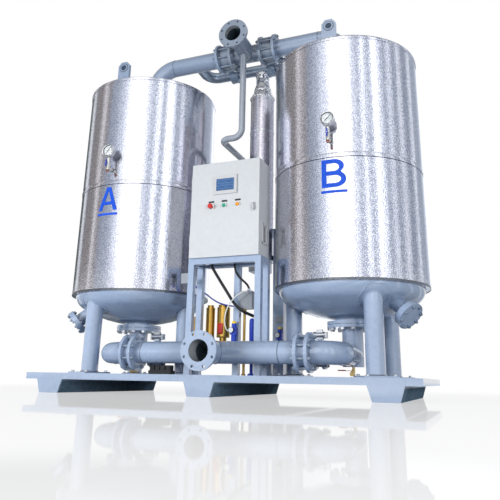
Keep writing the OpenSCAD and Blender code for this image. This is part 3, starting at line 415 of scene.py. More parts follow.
def finish_nodes():
    slots = {part["node"]: part["material_slot"] for part in frame["record"]["subparts"]}
    for name, node in frame["nodes"].items():
        node.data.materials.clear()
        node.data.materials.append(FINISH_OF_NODE.get(name, FINISH_OF_SLOT[slots[name]]))


finish_nodes()


# Piece helpers

SHARP_ANGLE = math.radians(35)


def settle(name, mesh, finish, body="frame", smooth=True):
    """Turn a bmesh into a piece of the object that rides on a body."""
    bmesh.ops.recalc_face_normals(mesh, faces=mesh.faces)
    data = bpy.data.meshes.new(name)
    mesh.to_mesh(data)
    mesh.free()
    piece = bpy.data.objects.new(name, data)
    bpy.context.scene.collection.objects.link(piece)
    data.materials.append(finish)
    if smooth:
        data.shade_smooth()
        data.set_sharp_from_angle(angle=SHARP_ANGLE)
    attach(piece, body)
    return piece


def new_meshes(count):
    return [bmesh.new() for _ in range(count)]


def join(mesh, part):
    """Add a finished bmesh to another."""
    data = bpy.data.meshes.new("part")
    part.to_mesh(data)
    part.free()
    mesh.from_mesh(data)
    bpy.data.meshes.remove(data)


def at(*place):
    return Matrix.Translation(place)


def facing(direction, place):
    """A matrix whose Z axis points along direction, at place."""
    return Matrix.Translation(place) @ Vector(direction).to_track_quat("Z", "Y").to_matrix().to_4x4()


def spin(degrees):
    return Matrix.Rotation(math.radians(degrees), 4, "Z")


def spoke(degrees):
    """A level vector one long at that angle from +X."""
    return Vector((math.cos(math.radians(degrees)), math.sin(math.radians(degrees)), 0))


def closed(*points):
    return [*points, points[0]]


def revolve(mesh, profile, matrix, steps=48):
    """Spin a profile of (radius, height) points about the matrix's Z axis."""
    part = bmesh.new()
    points = [part.verts.new((radius, 0, height)) for radius, height in profile]
    edges = [part.edges.new(pair) for pair in zip(points, points[1:])]
    bmesh.ops.spin(
        part, geom=points + edges, axis=(0, 0, 1), cent=(0, 0, 0),
        angle=2 * math.pi, steps=steps, use_merge=True)
    bmesh.ops.remove_doubles(part, verts=part.verts, dist=1e-6)
    bmesh.ops.transform(part, matrix=matrix, verts=part.verts)
    join(mesh, part)


def bar(mesh, size, matrix, round_off=0.0, segments=2):
    """A box of that size centred on the matrix, with rounded edges."""
    part = bmesh.new()
    bmesh.ops.create_cube(part, size=1.0, matrix=Matrix.Diagonal((*size, 1)))
    if round_off:
        bmesh.ops.bevel(
            part, geom=part.edges[:], offset=round_off, segments=segments, profile=0.5,
            affect="EDGES", material=-1)
    bmesh.ops.transform(part, matrix=matrix, verts=part.verts)
    join(mesh, part)


def bead(mesh, centre, axis, radius, size, steps=64):
    """A round bead such as a weld, running round an axis."""
    turns = [k * math.pi / 4 for k in range(9)]
    revolve(mesh, [(radius + size * math.cos(turn), size * math.sin(turn)) for turn in turns],
            facing(axis, centre), steps)


def hexagon(mesh, centre, axis, radius, height):
    """A hexagon head with a chamfered face."""
    part = bmesh.new()
    for top, tall, low in ((1.0, 0.8, 0.4), (0.82, 0.2, 0.9)):
        bmesh.ops.create_cone(part, cap_ends=True, segments=6, radius1=radius, radius2=radius * top,
                              depth=height * tall, matrix=at(0, 0, height * low))
    bmesh.ops.transform(part, matrix=facing(axis, centre), verts=part.verts)
    join(mesh, part)


def dome(mesh, centre, axis, radius, height):
    """A small round screw head."""
    revolve(mesh, [(0, height), (radius * 0.6, height * 0.8), (radius, 0)], facing(axis, centre), 8)


def ring(mesh, sides, radius, matrix):
    return bmesh.ops.create_circle(mesh, segments=sides, radius=radius, matrix=matrix)["verts"]


def bridge(mesh, rings):
    """Join rings of corners one after another."""
    for near, far in zip(rings, rings[1:]):
        edges = [mesh.edges.get((loop[i], loop[i - 1])) for loop in (near, far) for i in range(len(loop))]
        bmesh.ops.bridge_loops(mesh, edges=edges)


def headings(path):
    """The direction of a path at each of its points."""
    last = len(path) - 1
    return [path[min(index + 1, last)] - path[max(index - 1, 0)] for index in range(len(path))]


def seam(mesh, path, size, sides=8):
    """A bead swept along a path."""
    bridge(mesh, [
        ring(mesh, sides, size, facing(ahead, point)) for point, ahead in zip(path, headings(path))])


# Camera, light and floor

CAMERA_PLACE = Vector((1.940157, -4.645223, 0.132198))
CAMERA_YAW = math.radians(21.554)
CAMERA_PITCH = math.radians(16.281)
CAMERA_ROLL = math.radians(1.029)
FOCAL_PIXELS = 569.743
IMAGE_PIXELS = 500.0
CENTRE_U = 252.345
CENTRE_V = 212.563


def set_camera():
    data = bpy.data.cameras.new("camera")
    data.sensor_width = 36.0
    data.lens = FOCAL_PIXELS / IMAGE_PIXELS * data.sensor_width
    data.shift_x = (IMAGE_PIXELS / 2 - CENTRE_U) / IMAGE_PIXELS
    data.shift_y = (CENTRE_V - IMAGE_PIXELS / 2) / IMAGE_PIXELS
    data.clip_end = 100.0
    camera = bpy.data.objects.new("camera", data)
    bpy.context.scene.collection.objects.link(camera)
    turn = Matrix.Rotation(CAMERA_YAW, 4, "Z") @ Matrix.Rotation(math.pi / 2 + CAMERA_PITCH, 4, "X")
    camera.matrix_world = Matrix.Translation(CAMERA_PLACE) @ turn @ Matrix.Rotation(CAMERA_ROLL, 4, "Z")
    bpy.context.scene.camera = camera


def area_light(name, place, target, width, height, power, spread):
    data = bpy.data.lights.new(name, "AREA")
    data.shape = "RECTANGLE"
    data.size = width
    data.size_y = height
    data.energy = power
    data.spread = math.radians(spread)
    light = bpy.data.objects.new(name, data)
    light.visible_glossy = False
    bpy.context.scene.collection.objects.link(light)
    aim = (Vector(target) - Vector(place)).to_track_quat("-Z", "Y")
    light.matrix_world = Matrix.Translation(place) @ aim.to_matrix().to_4x4()


def set_light():
    area_light("key_light", (-4.4, -6.2, 1.3), (0, 0, 0.6), 4.0, 2.4, 122, 85)
    area_light("fill_light", (5.5, -5.5, 1.1), (0, 0, 0.5), 3.0, 2.0, 61, 85)
    area_light("back_light", (2.0, 6.5, 3.0), (0, 0, 1.6), 5.0, 3.0, 110, 150)


# The hall seen in polished surfaces: (degrees round from +X, brightness, tint) of its walls
COOL, TEAL, WARM = (0.82, 0.965, 1.19), (0.82, 1.0, 1.02), (1.05, 0.97, 0.95)
HALL = [
    (-180, 0.34, WARM), (-169, 0.30, WARM), (-158, 0.46, WARM), (-149, 0.40, WARM), (-137, 0.48, COOL),
    (-126, 0.64, COOL), (-116, 1.00, COOL), (-107, 1.50, COOL), (-99, 2.30, COOL), (-74, 2.30, COOL),
    (-67, 1.10, COOL), (-58, 0.78, COOL), (-42, 0.74, COOL), (-20, 0.70, COOL), (4, 0.54, COOL),
    (22, 0.46, COOL), (34, 0.47, COOL), (56, 0.53, COOL), (66, 0.48, COOL), (78, 0.80, COOL),
    (86, 1.0, COOL), (91, 1.5, COOL), (98, 1.5, COOL), (104, 1.0, COOL), (113, 0.45, COOL),
    (123, 0.24, TEAL), (136, 0.18, TEAL), (150, 0.12, TEAL), (166, 0.18, COOL), (180, 0.34, WARM),
]
# Narrow windows in those walls: (degrees, width, brightness)
WINDOWS = [
    (-158, 8, 0.50), (-50, 5, 1.5), (-30, 9, 1.5), (-6, 4, 1.0), (15, 5, 1.0), (43, 5, 0.9), (163, 9, 0.9),
]
CEILING = 0.46
WHITE = (1, 1, 1, 1)
SMOOTH = "SMOOTHSTEP"


def tinted(level, tint):
    """Dim walls take the whole tint, and bright ones less of it."""
    share = min(level / 2, 1.0)
    return tuple(level * (part + (1 - part) * share) for part in tint)


def window_stops():
    stops = [(0.0, 0.0)]
    for degrees, width, level in WINDOWS:
        for offset, value in ((-0.8, 0.0), (-0.35, level), (0.35, level), (0.8, 0.0)):
            stops.append(((degrees + offset * width) / 360 + 0.5, value))
    return stops + [(1.0, 0.0)]


def hall_colour(tree, direction):
    """The colour of the hall's walls and windows in that direction."""
    split = add(tree, "SeparateXYZ", Vector=direction).outputs
    angle = arithmetic(tree, "ARCTAN2", split["Y"], split["X"])
    turn = arithmetic(tree, "ADD", arithmetic(tree, "DIVIDE", angle, 2 * math.pi), 0.5)
    walls = ramp(tree, turn, *((degrees / 360 + 0.5, tinted(level, tint)) for degrees, level, tint in HALL))
    return blend(tree, 1.0, walls, ramp(tree, turn, *window_stops()), "ADD")


def set_world():
    """White where the camera looks, and a bright hall with windows in the reflections."""
    world = bpy.data.worlds.new("hall")
    bpy.context.scene.world = world
    world.use_nodes = True
    tree = world.node_tree
    tree.nodes.clear()
    direction = add(tree, "TexCoord").outputs["Generated"]
    height = add(tree, "SeparateXYZ", Vector=direction).outputs["Z"]
    walls = blend(tree, fade(tree, height, 0.10, 0.15, kind=SMOOTH), WHITE, hall_colour(tree, direction))
    hall = blend(tree, fade(tree, height, 0.55, 0.85, kind=SMOOTH), walls, (*grey(CEILING), 1))
    glossy = add(tree, "Background", Color=hall)
    soft = add(tree, "Background", Color=(0.93, 0.96, 1.0, 1),
               Strength=fade(tree, height, 0.05, 0.75, 0.50, 0.16, SMOOTH))
    white = add(tree, "Background", Color=WHITE, Strength=1.0)
    path = add(tree, "LightPath").outputs
    shiny = mix_shaders(tree, path["Is Glossy Ray"], soft.outputs[0], glossy.outputs[0])
    clear = arithmetic(tree, "MAXIMUM", path["Is Camera Ray"], path["Is Transmission Ray"])
    add(tree, "OutputWorld", Surface=mix_shaders(tree, clear, shiny, white.outputs[0]))


FLOOR_WHITE = 0.50
FLOOR_MIRROR = 0.36


def set_floor():
    """A pale floor with a soft shadow and a faint mirror image, white again away from the skid."""
    mesh = bmesh.new()
    bmesh.ops.create_grid(mesh, x_segments=1, y_segments=1, size=60.0)
    data = bpy.data.meshes.new("floor")
    mesh.to_mesh(data)
    mesh.free()
    floor = bpy.data.objects.new("floor", data)
    floor.location.z = -0.0005
    bpy.context.scene.collection.objects.link(floor)
    material, tree, shader = new_material("studio_floor")
    plug(tree, shader, Base_Color=(0.94, 0.94, 0.94, 1), Roughness=0.9, Specular_IOR_Level=0.0)
    dim = add(tree, "BsdfDiffuse", Color=(0.50, 0.52, 0.545, 1))
    mirror = add(tree, "BsdfGlossy", Color=WHITE, Roughness=0.03)
    place = object_place(tree)
    reach = add(tree, "VectorMath", {"operation": "LENGTH"}, Vector=place).outputs["Value"]
    path = add(tree, "LightPath").outputs
    camera, shiny = path["Is Camera Ray"], path["Is Glossy Ray"]
    slant = add(tree, "LayerWeight", Blend=0.5).outputs["Facing"]
    grazing = fade(tree, slant, 0.55, 0.90, 0.0, FLOOR_MIRROR / (1 - FLOOR_WHITE))
    pale = mix_shaders(tree, camera, dim.outputs[0], shader.outputs[0])
    polish = mix_shaders(tree, arithmetic(tree, "MULTIPLY", camera, grazing), pale, mirror.outputs[0])
    # polished metal sees the hall again in the floor further out
    tone = blend(tree, shiny, WHITE, hall_colour(tree, place))
    white = add(tree, "Emission", Color=tone, Strength=1.0)
    away = fade(tree, reach, 2.0, 6.2, FLOOR_WHITE, 1.0, SMOOTH)
    outer = fade(tree, reach, 1.6, 4.2, 0.2, 0.9, SMOOTH)
    share = arithmetic(tree, "MAXIMUM", arithmetic(tree, "MULTIPLY", camera, away),
                       arithmetic(tree, "MULTIPLY", shiny, outer))
    plug(tree, tree.nodes["Material Output"], Surface=mix_shaders(tree, share, polish, white.outputs[0]))
    data.materials.append(material)


bpy.context.scene.view_settings.view_transform = "Standard"
set_camera()
set_light()
set_world()
set_floor()


# Flexible lines

CONDUIT_ROUTE = [
    (-0.10, -0.39, 1.083), (-0.10, -0.39, 1.066), (-0.099, -0.39, 1.050), (-0.0955, -0.39, 1.035),
    (-0.09, -0.39, 1.020), (-0.082, -0.389, 1.006), (-0.055, -0.388, 0.964), (-0.022, -0.385, 0.913),
    (0.033, -0.378, 0.829), (0.080, -0.366, 0.754), (0.104, -0.36, 0.721), (0.128, -0.356, 0.694),
    (0.154, -0.35, 0.671), (0.180, -0.337, 0.654), (0.202, -0.315, 0.642), (0.217, -0.286, 0.634),
    (0.223, -0.25, 0.630), (0.224, -0.205, 0.630), (0.218, -0.155, 0.638), (0.208, -0.095, 0.656),
    (0.192, -0.025, 0.692), (0.165, 0.050, 0.746), (0.132, 0.125, 0.820), (0.102, 0.190, 0.908),
    (0.082, 0.231, 0.985), (0.076, 0.248, 1.035), (0.076, 0.250, 1.070), (0.076, 0.250, 1.090),
]
TUBE_ROUTE = [
    (-0.295, -0.44, 0.925), (-0.295, -0.405, 0.925), (-0.292, -0.34, 0.908), (-0.29, -0.305, 0.890),
    (-0.279, -0.27, 0.868), (-0.252, -0.243, 0.845), (-0.205, -0.233, 0.818), (-0.16, -0.237, 0.785),
    (-0.10, -0.246, 0.751), (-0.055, -0.248, 0.734), (-0.015, -0.24, 0.723), (0.018, -0.225, 0.718),
    (0.036, -0.218, 0.716), (0.055, -0.215, 0.715), (0.071, -0.217, 0.715), (0.085, -0.224, 0.715),
    (0.096, -0.235, 0.715), (0.103, -0.249, 0.715), (0.105, -0.264, 0.715), (0.105, -0.27, 0.715),
]
BOX_CABLE_ROUTE = [
    (0.092, -0.350, 1.083), (0.092, -0.350, 1.071), (0.092, -0.350, 1.057), (0.094, -0.348, 1.030),
    (0.100, -0.345, 1.000), (0.111, -0.342, 0.972), (0.127, -0.338, 0.947), (0.146, -0.333, 0.926),
    (0.165, -0.326, 0.908), (0.182, -0.317, 0.891), (0.195, -0.308, 0.874), (0.203, -0.301, 0.856),
    (0.206, -0.297, 0.843), (0.206, -0.297, 0.834), (0.206, -0.297, 0.826),
]
REGULATOR_TUBE_ROUTE = [
    (0.225, -0.325, 0.806), (0.225, -0.344, 0.808), (0.216, -0.364, 0.812), (0.196, -0.378, 0.811),
    (0.168, -0.385, 0.800), (0.135, -0.389, 0.778), (0.100, -0.390, 0.746), (0.068, -0.388, 0.706),
    (0.044, -0.382, 0.660), (0.030, -0.374, 0.612), (0.026, -0.366, 0.568), (0.032, -0.359, 0.530),
    (0.046, -0.355, 0.506), (0.064, -0.355, 0.498), (0.080, -0.355, 0.498),
]
# (piece, CAD node it stands for, route, radius, step along it, depth of ribs, finish, slot, stiffness)
LINES = [
    ("ribbed_conduit", "conduit", CONDUIT_ROUTE, 0.013, 0.005, 0.0016, CONDUIT, "black_rubber", "stiff"),
    ("pilot_air_tube", "air_tube", TUBE_ROUTE, 0.006, 0.012, 0.0, TUBE, "blue_rubber", "medium"),
    ("box_cable", None, BOX_CABLE_ROUTE, 0.009, 0.008, 0.0, CONDUIT, "black_rubber", "medium"),
    ("regulator_tube", None, REGULATOR_TUBE_ROUTE, 0.005, 0.010, 0.0, PALE_TUBE, "grey_plastic", "medium"),
]
HOSE_SIDES = 14


def smooth_route(route, step):
    """Points every step along a smooth curve through the route."""
    points = [Vector(point) for point in route]
    fine = []
    for index in range(len(points) - 1):
        before = points[max(index - 1, 0)]
        start, end = points[index], points[index + 1]
        after = points[min(index + 2, len(points) - 1)]
        count = max(2, round((end - start).length / step))
        for part in range(count):
            t = part / count
            fine.append(0.5 * (
                2 * start + (end - before) * t + (2 * before - 5 * start + 4 * end - after) * t * t
                + (3 * start - before - 3 * end + after) * t ** 3))
    return fine + [points[-1]]


def hose(name, path, radius, finish, rib):
    """A tube extruded ring by ring along its path, with ribs where rib is set."""
    mesh = bmesh.new()
    rings = []
    turn = last = None
    for index, (point, ahead) in enumerate(zip(path, headings(path))):
        turn = last.rotation_difference(ahead) @ turn if last else ahead.to_track_quat("Z", "Y")
        last = ahead
        size = radius - (rib if index % 2 else 0.0)
        rings.append(ring(mesh, HOSE_SIDES, size, Matrix.Translation(point) @ turn.to_matrix().to_4x4()))
    bridge(mesh, rings)
    for end in (rings[0], rings[-1]):
        bmesh.ops.contextual_create(mesh, geom=end)
    return settle(name, mesh, finish)


def flexible_lines():
    for name, node, route, radius, step, rib, finish, slot, stiffness in LINES:
        path = smooth_route(route, step)
        piece = hose(name, path, radius, finish, rib)
        if node:
            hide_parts(node)


flexible_lines()


# Tower cladding trim

ROUND = 128
LAP = closed((0.0004, -0.016), (0.0024, -0.015), (0.0026, 0.014), (0.0004, 0.020))
LAP_GAP = closed((0.0003, -0.0205), (0.0009, -0.0205), (0.0009, -0.0162), (0.0003, -0.0162))
TOP_EDGE = closed((-0.012, 0.0026), (0.0030, 0.0030), (0.0044, -0.002), (0.0040, -0.024), (0.0006, -0.026),
                  (0.0006, 0.0))
RIM_TEETH = 88
RIM_CRIMP = 0.0016
SCREW_RADIUS, SCREW_HEIGHT = 0.0055, 0.003
SCREWS_ROUND = 40
STRIP_THICKNESS, STRIP_WIDTH, STRIP_SHORT = 0.0016, 0.034, 0.06
STRIP_SCREWS = 9
# (bottom, top, angle) of the upright joint in each course
JOINT_STRIPS = ((JACKET_BOTTOM, SEAM_Z, 62), (SEAM_Z, JACKET_TOP, 118))


def rim_ring(mesh, centre, radius, low, high):
    """A crimped band: rings whose radius swings in and out, joined up the band."""
    rings = []
    for height, swing in ((low, RIM_CRIMP), ((low + high) / 2, RIM_CRIMP * 0.8), (high, 0.0)):
        made = ring(mesh, RIM_TEETH * 4, radius, at(*centre, height))
        for vert in made:
            out = Vector((vert.co.x - centre[0], vert.co.y - centre[1], 0))
            wave = math.sin(RIM_TEETH * math.atan2(out.y, out.x))
            vert.co += out.normalized() * (RIM_CRIMP + swing * wave)
            vert.co.z += (RIM_CRIMP * wave if height == low else 0.0)
        rings.append(made)
    bridge(mesh, rings)


def cladding_trim():
    """Laps, their shadow gaps, crimped rims and screws on the jackets."""
    bands, shadow, rims, screws = new_meshes(4)

    def screw(x, level, out, lift):
        dome(screws, Vector((x, TOWER_Y, level)) + out * (JACKET_RADIUS + lift), out,
             SCREW_RADIUS, SCREW_HEIGHT)

    for x in TOWERS.values():
        foot = facing((0, 0, 1), (x, TOWER_Y, 0))
        for mesh, base, profile in (
                (bands, SEAM_Z, LAP), (shadow, SEAM_Z, LAP_GAP), (bands, JACKET_TOP, TOP_EDGE)):
            revolve(mesh, [(JACKET_RADIUS + out, base + up) for out, up in profile], foot, ROUND)
        rim_ring(rims, (x, TOWER_Y), JACKET_RADIUS, JACKET_BOTTOM - 0.004, JACKET_BOTTOM + 0.012)
        for step in range(SCREWS_ROUND):
            for level, lift in (
                    (SEAM_Z + 0.006, 0.0024), (JACKET_BOTTOM + 0.030, 0.0), (JACKET_TOP - 0.014, 0.0040)):
                screw(x, level, spoke(step * 360 / SCREWS_ROUND + 4), lift)
        for low, high, turn in JOINT_STRIPS:
            out = spoke(turn)
            spot = Vector((x, TOWER_Y, (low + high) / 2)) + out * (JACKET_RADIUS + STRIP_THICKNESS / 2)
            bar(bands, (STRIP_THICKNESS, STRIP_WIDTH, high - low - STRIP_SHORT),
                at(*spot) @ spin(turn), 0.0006, 1)
            pitch = (high - low - 2 * STRIP_SHORT) / (STRIP_SCREWS - 1)
            for step in range(STRIP_SCREWS):
                screw(x, low + STRIP_SHORT + step * pitch, out, STRIP_THICKNESS)
    settle("cladding_lap_bands", bands, STUCCO_UPPER)
    settle("cladding_lap_shadow_gaps", shadow, GASKET)
    # the crimped rims carry painted shade
    settle("cladding_crimped_rims", rims, CRIMP_SHADE)
    settle("cladding_screws", screws, ZINC)


def arc(centre, across, up, start, end, steps=10):
    """Points on an ellipse from one angle to another."""
    turns = [math.radians(start + (end - start) * step / steps) for step in range(steps + 1)]
    return [(centre[0] + across * math.cos(turn), centre[1] + up * math.sin(turn)) for turn in turns]


# Outlines of the letters in a box one wide and one high, the outside first and then the openings
LETTER_OUTLINES = {
    "A": [
        [(0, 0), (0.20, 0), (0.285, 0.235), (0.715, 0.235), (0.80, 0), (1, 0), (0.615, 1), (0.385, 1)],
        [(0.335, 0.375), (0.665, 0.375), (0.5, 0.84)],
    ],
    "B": [
        [(0, 0), *arc((0.56, 0.285), 0.44, 0.285, -90, 52), *arc((0.53, 0.755), 0.39, 0.245, -48, 90),
         (0, 1)],
        [(0.20, 0.145), *arc((0.55, 0.285), 0.235, 0.14, -90, 90), (0.20, 0.425)],
        [(0.20, 0.575), *arc((0.51, 0.715), 0.205, 0.14, -90, 90), (0.20, 0.855)],
    ],
}
FILM_LIFT = 0.0010
FILM_THICKNESS = 0.0006
UNDERLINE_DROP, UNDERLINE_HEIGHT = 0.034, 0.020
SLICE, SLICE_SHIFT = 0.011, 0.0003


def tower_letter(letter, x, turn, height, width, low):
    """The letter that names a tower, cut from film and laid round the jacket, with a line under it."""
    mesh = bmesh.new()
    edges = []
    for outline in LETTER_OUTLINES[letter]:
        corners = [mesh.verts.new(((across - 0.5) * width, up * height, 0)) for across, up in outline]
        edges += [mesh.edges.new(pair) for pair in zip(corners, corners[1:] + corners[:1])]
    bmesh.ops.triangle_fill(mesh, edges=edges, use_beauty=True, normal=(0, 0, 1))
    bmesh.ops.create_grid(mesh, x_segments=1, y_segments=1, size=0.5,
                          matrix=at(0, -UNDERLINE_DROP, 0)
                          @ Matrix.Diagonal((width * 1.06, UNDERLINE_HEIGHT, 1, 1)))
    for step in range(-12, 13):
        bmesh.ops.bisect_plane(mesh, geom=mesh.verts[:] + mesh.edges[:] + mesh.faces[:],
                               plane_co=(step * SLICE + SLICE_SHIFT, 0, 0), plane_no=(1, 0, 0))
    radius = JACKET_RADIUS + FILM_LIFT
    for vert in mesh.verts:
        angle = math.radians(turn) + vert.co.x / radius
        vert.co = (x + radius * math.cos(angle), TOWER_Y + radius * math.sin(angle), low + vert.co.y)
    bmesh.ops.recalc_face_normals(mesh, faces=mesh.faces)
    raised = bmesh.ops.extrude_face_region(mesh, geom=mesh.faces[:])["geom"]
    for vert in raised:
        if isinstance(vert, bmesh.types.BMVert):
            vert.co += Vector((vert.co.x - x, vert.co.y - TOWER_Y, 0)).normalized() * FILM_THICKNESS
    settle("tower_letter_" + letter.lower(), mesh, LETTER_FILM, smooth=False)


cladding_trim()
tower_letter("A", TOWERS["a"], -91.5, 0.215, 0.195, 1.532)
tower_letter("B", TOWERS["b"], -88, 0.225, 0.190, 1.530)


# Pressure gauges

NEEDLE_TURN = {"a": 40, "b": 46}
DIAL_DROP = 0.055
COCK_TIP_Y, COCK_TIP_Z = TOWER_Y - 0.694, 1.886


def gauge_faces():
    cases, dials, edges, marks, needles, glasses, tips = new_meshes(7)
    for name, x in TOWERS.items():
        forward = facing((0, -1, 0), Vector((x, gauge_low.y, gauge_high.z - DIAL_DROP)))
        revolve(cases, closed((0.0485, -0.002), (0.0490, 0.002), (0.0530, 0.0035), (0.0560, 0.001),
                              (0.0564, -0.008), (0.0552, -0.010)), forward)
        revolve(dials, [(0, -0.0052), (0.0488, -0.0052), (0.0488, -0.0058), (0, -0.0058)], forward)
        revolve(edges, closed((0.0440, -0.0050), (0.0452, -0.0030), (0.0492, -0.0022), (0.0492, -0.0050)),
                forward)
        for step in range(31):
            out, wide, long = (0.0385, 0.0016, 0.008) if step % 5 == 0 else (0.0405, 0.0009, 0.004)
            bar(marks, (wide, long, 0.0004), forward @ spin(135 - step * 9) @ at(0, out, -0.0049))
        bar(needles, (0.0062, 0.062, 0.0008),
            forward @ spin(-NEEDLE_TURN[name]) @ at(0, 0.005, -0.0038), 0.0003, 1)
        revolve(needles, [(0, -0.0028), (0.0045, -0.0030), (0.0048, -0.0046), (0, -0.0046)], forward, 16)
        revolve(glasses, [(0, -0.0006), (0.0486, -0.0008), (0.0486, -0.0018), (0, -0.0018)], forward)
        revolve(tips, [(0, 0.024), (0.006, 0.024), (0.010, 0.018), (0.0135, 0.016), (0.0135, 0.0), (0, 0.0)],
                facing((0, -0.35, -1), (x, COCK_TIP_Y, COCK_TIP_Z)), 20)
    settle("cock_outlet_tips", tips, COPPER)
    settle("gauge_bezels", cases, CHROME)
    settle("gauge_dials", dials, DIAL)
    settle("gauge_dial_edges", edges, BLACK)
    settle("gauge_dial_marks", marks, BLACK, smooth=False)
    settle("gauge_needles", needles, BLACK)
    settle("gauge_glasses", glasses, GLASS)


gauge_faces()


# Cabinet

VENT_Y, VENT_Z = -0.395, 1.270
RAIL_DEPTH = 0.0075
# (x from the middle, width, depth, height) of the controller and its modules
MODULES = ((-0.120, 0.130, 0.052, 0.096), (0.010, 0.072, 0.048, 0.090), (0.110, 0.045, 0.044, 0.090))


def operator_panel():
    panel, screen = new_meshes(2)
    front = screen_low.y
    centre = (screen_low + screen_high) / 2
    width, height = screen_high.x - screen_low.x, screen_high.z - screen_low.z
    pane_w, pane_h = width - 0.046, height - 0.058
    for side in (-1, 1):
        bar(panel, (width, 0.004, (height - pane_h) / 2),
            at(centre.x, front - 0.0016, centre.z + side * (height + pane_h) / 4), 0.0012)
        bar(panel, ((width - pane_w) / 2, 0.004, pane_h + 0.002),
            at(centre.x + side * (width + pane_w) / 4, front - 0.0016, centre.z), 0.0012)
    bar(screen, (pane_w, 0.0012, pane_h), at(centre.x - 0.003, front - 0.0004, centre.z + 0.004), 0.0004, 1)
    settle("operator_panel_frame", panel, PANEL_GREY, "door")
    settle("operator_panel_screen", screen, SCREEN, "door", smooth=False)


def door_buttons():
    """Labels, bezels and caps of the stop button, push button and lamp, and the lock's plate."""
    labels, bezels, plate = new_meshes(3)
    for node, radius in (("estop_button", 0.024), ("push_button", 0.0185), ("signal_lamp", 0.0185)):
        spot = middle(node)
        bar(labels, (0.052, 0.0016, 0.015), at(spot.x, DOOR_FRONT - 0.0008, spot.z + 0.040), 0.0006, 1)
        revolve(bezels, closed((radius - 0.006, 0.0), (radius, 0.0), (radius, 0.003),
                               (radius - 0.003, 0.0046), (radius - 0.006, 0.0046)),
                facing((0, -1, 0), (spot.x, DOOR_FRONT, spot.z)), 40)
    settle("button_label_plates", labels, BLACK, "door")
    settle("button_bezels", bezels, CHROME, "door")

    mushroom = [(0, 0.0045), (0.009, 0.0040), (0.0165, 0.0015), (0.0205, -0.0035), (0.0212, -0.009),
                (0.0202, -0.012), (0.0, -0.012)]
    lens = [(0, 0.0030), (0.006, 0.0027), (0.0120, 0.0012), (0.0152, -0.0012), (0.0152, -0.004), (0, -0.004)]
    for name, node, profile, steps, finish, body, slot in (
            ("emergency_stop_mushroom", "estop_button", mushroom, 40, RED, "estop", "red_plastic"),
            ("push_button_lens", "push_button", lens, 32, GREEN, "pushbutton", "green_plastic"),
            ("signal_lamp_lens", "signal_lamp", lens, 32, AMBER, "door", "amber_plastic")):
        cap, spot = bmesh.new(), middle(node)
        revolve(cap, profile, facing((0, -1, 0), (spot.x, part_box(node)[0].y, spot.z)), steps)
        settle(name, cap, finish, body)

    lock = middle("door_lock")
    bar(plate, (0.034, 0.004, 0.074), at(lock.x, DOOR_FRONT - 0.002, lock.z), 0.0018)
    revolve(plate, closed((0.0142, 0.0), (0.019, 0.0), (0.019, 0.007), (0.0165, 0.009), (0.0142, 0.009)),
            facing((0, -1, 0), (lock.x, DOOR_FRONT, lock.z)), 32)
    settle("door_lock_escutcheon", plate, PANEL_GREY, "door")


def door_seal():
    seal = bmesh.new()
    shell = middle("cabinet_shell")
    level = door_high.y + 0.0007
    for side in (-1, 1):
        bar(seal, (shell_high.x - shell_low.x - 0.012, 0.0018, 0.006),
            at((door_low.x + door_high.x) / 2 + 0.003, level, shell.z + side * 0.401), 0.0006, 1)
        bar(seal, (0.006, 0.0018, 0.796), at(shell.x + 0.0025 + side * 0.300, level, shell.z), 0.0006, 1)
    settle("cabinet_door_seal", seal, BLACK, "frame")


def cabinet_vent():
    """A louvred filter frame over the slots in the side of the cabinet."""
    rim, blades = new_meshes(2)
    middle_x = shell_high.x + 0.005
    tilt = Matrix.Rotation(math.radians(-35), 4, "Y")
    for side in (-1, 1):
        bar(rim, (0.010, 0.100, 0.014), at(middle_x, VENT_Y, VENT_Z + side * 0.078), 0.002)
        bar(rim, (0.010, 0.014, 0.170), at(middle_x, VENT_Y + side * 0.043, VENT_Z), 0.002)
    for step in range(9):
        bar(blades, (0.002, 0.076, 0.014),
            at(middle_x, VENT_Y, VENT_Z - 0.064 + step * 0.016) @ tilt, 0.0005, 1)
    settle("cabinet_vent_frame", rim, PANEL_GREY)
    settle("cabinet_vent_louvres", blades, PANEL_GREY)


def cabinet_gear():
    """Rails with breakers, a controller and terminals, and slotted ducts, on the mounting plate."""
    rails, breakers, toggles, terminals, ducts = new_meshes(5)
    low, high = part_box("mounting_plate")
    front, centre, width, tall = low.y, (low.x + high.x) / 2, (high.x - low.x) * 0.82, high.z - low.z
    lower, halfway, upper = (low.z + tall * share for share in (0.20, 0.50, 0.80))
    for level in (lower, halfway, upper):
        bar(rails, (width, RAIL_DEPTH, 0.035), at(centre, front - 0.0038, level), 0.001, 1)
    for step in range(9):
        x = centre - width / 2 + 0.040 + step * 0.018
        bar(breakers, (0.0172, 0.046, 0.082), at(x, front - 0.0305, upper), 0.0015)
        bar(toggles, (0.0085, 0.012, 0.015), at(x, front - 0.0565, upper + 0.004), 0.001)
    for x, wide, deep, up in MODULES:
        bar(breakers, (wide, deep, up), at(centre + x, front - RAIL_DEPTH - deep / 2, halfway), 0.003)
        bar(toggles, (wide * 0.7, 0.004, 0.018),
            at(centre + x, front - RAIL_DEPTH - deep - 0.001, halfway + 0.020), 0.001)
    for step in range(34):
        bar(terminals, (0.0074, 0.038, 0.052),
            at(centre - 0.150 + step * 0.0085, front - 0.0265, lower), 0.0008, 1)
    for share in (0.055, 0.35, 0.65, 0.945):
        level = low.z + tall * share
        bar(ducts, (width, 0.040, 0.030), at(centre, front - 0.020, level), 0.0015)
        for step in range(44):
            x = centre + width * (step / 43 - 0.5) * 0.985
            for side in (-1, 1):
                bar(ducts, (0.0055, 0.036, 0.010), at(x, front - 0.0185, level + side * 0.0185))
    settle("cabinet_rails", rails, ZINC)
    settle("cabinet_breakers", breakers, PANEL_GREY)
    settle("cabinet_toggles", toggles, BLACK)
    settle("cabinet_terminals", terminals, GREY)
    settle("cabinet_ducts", ducts, BOX_GREY)


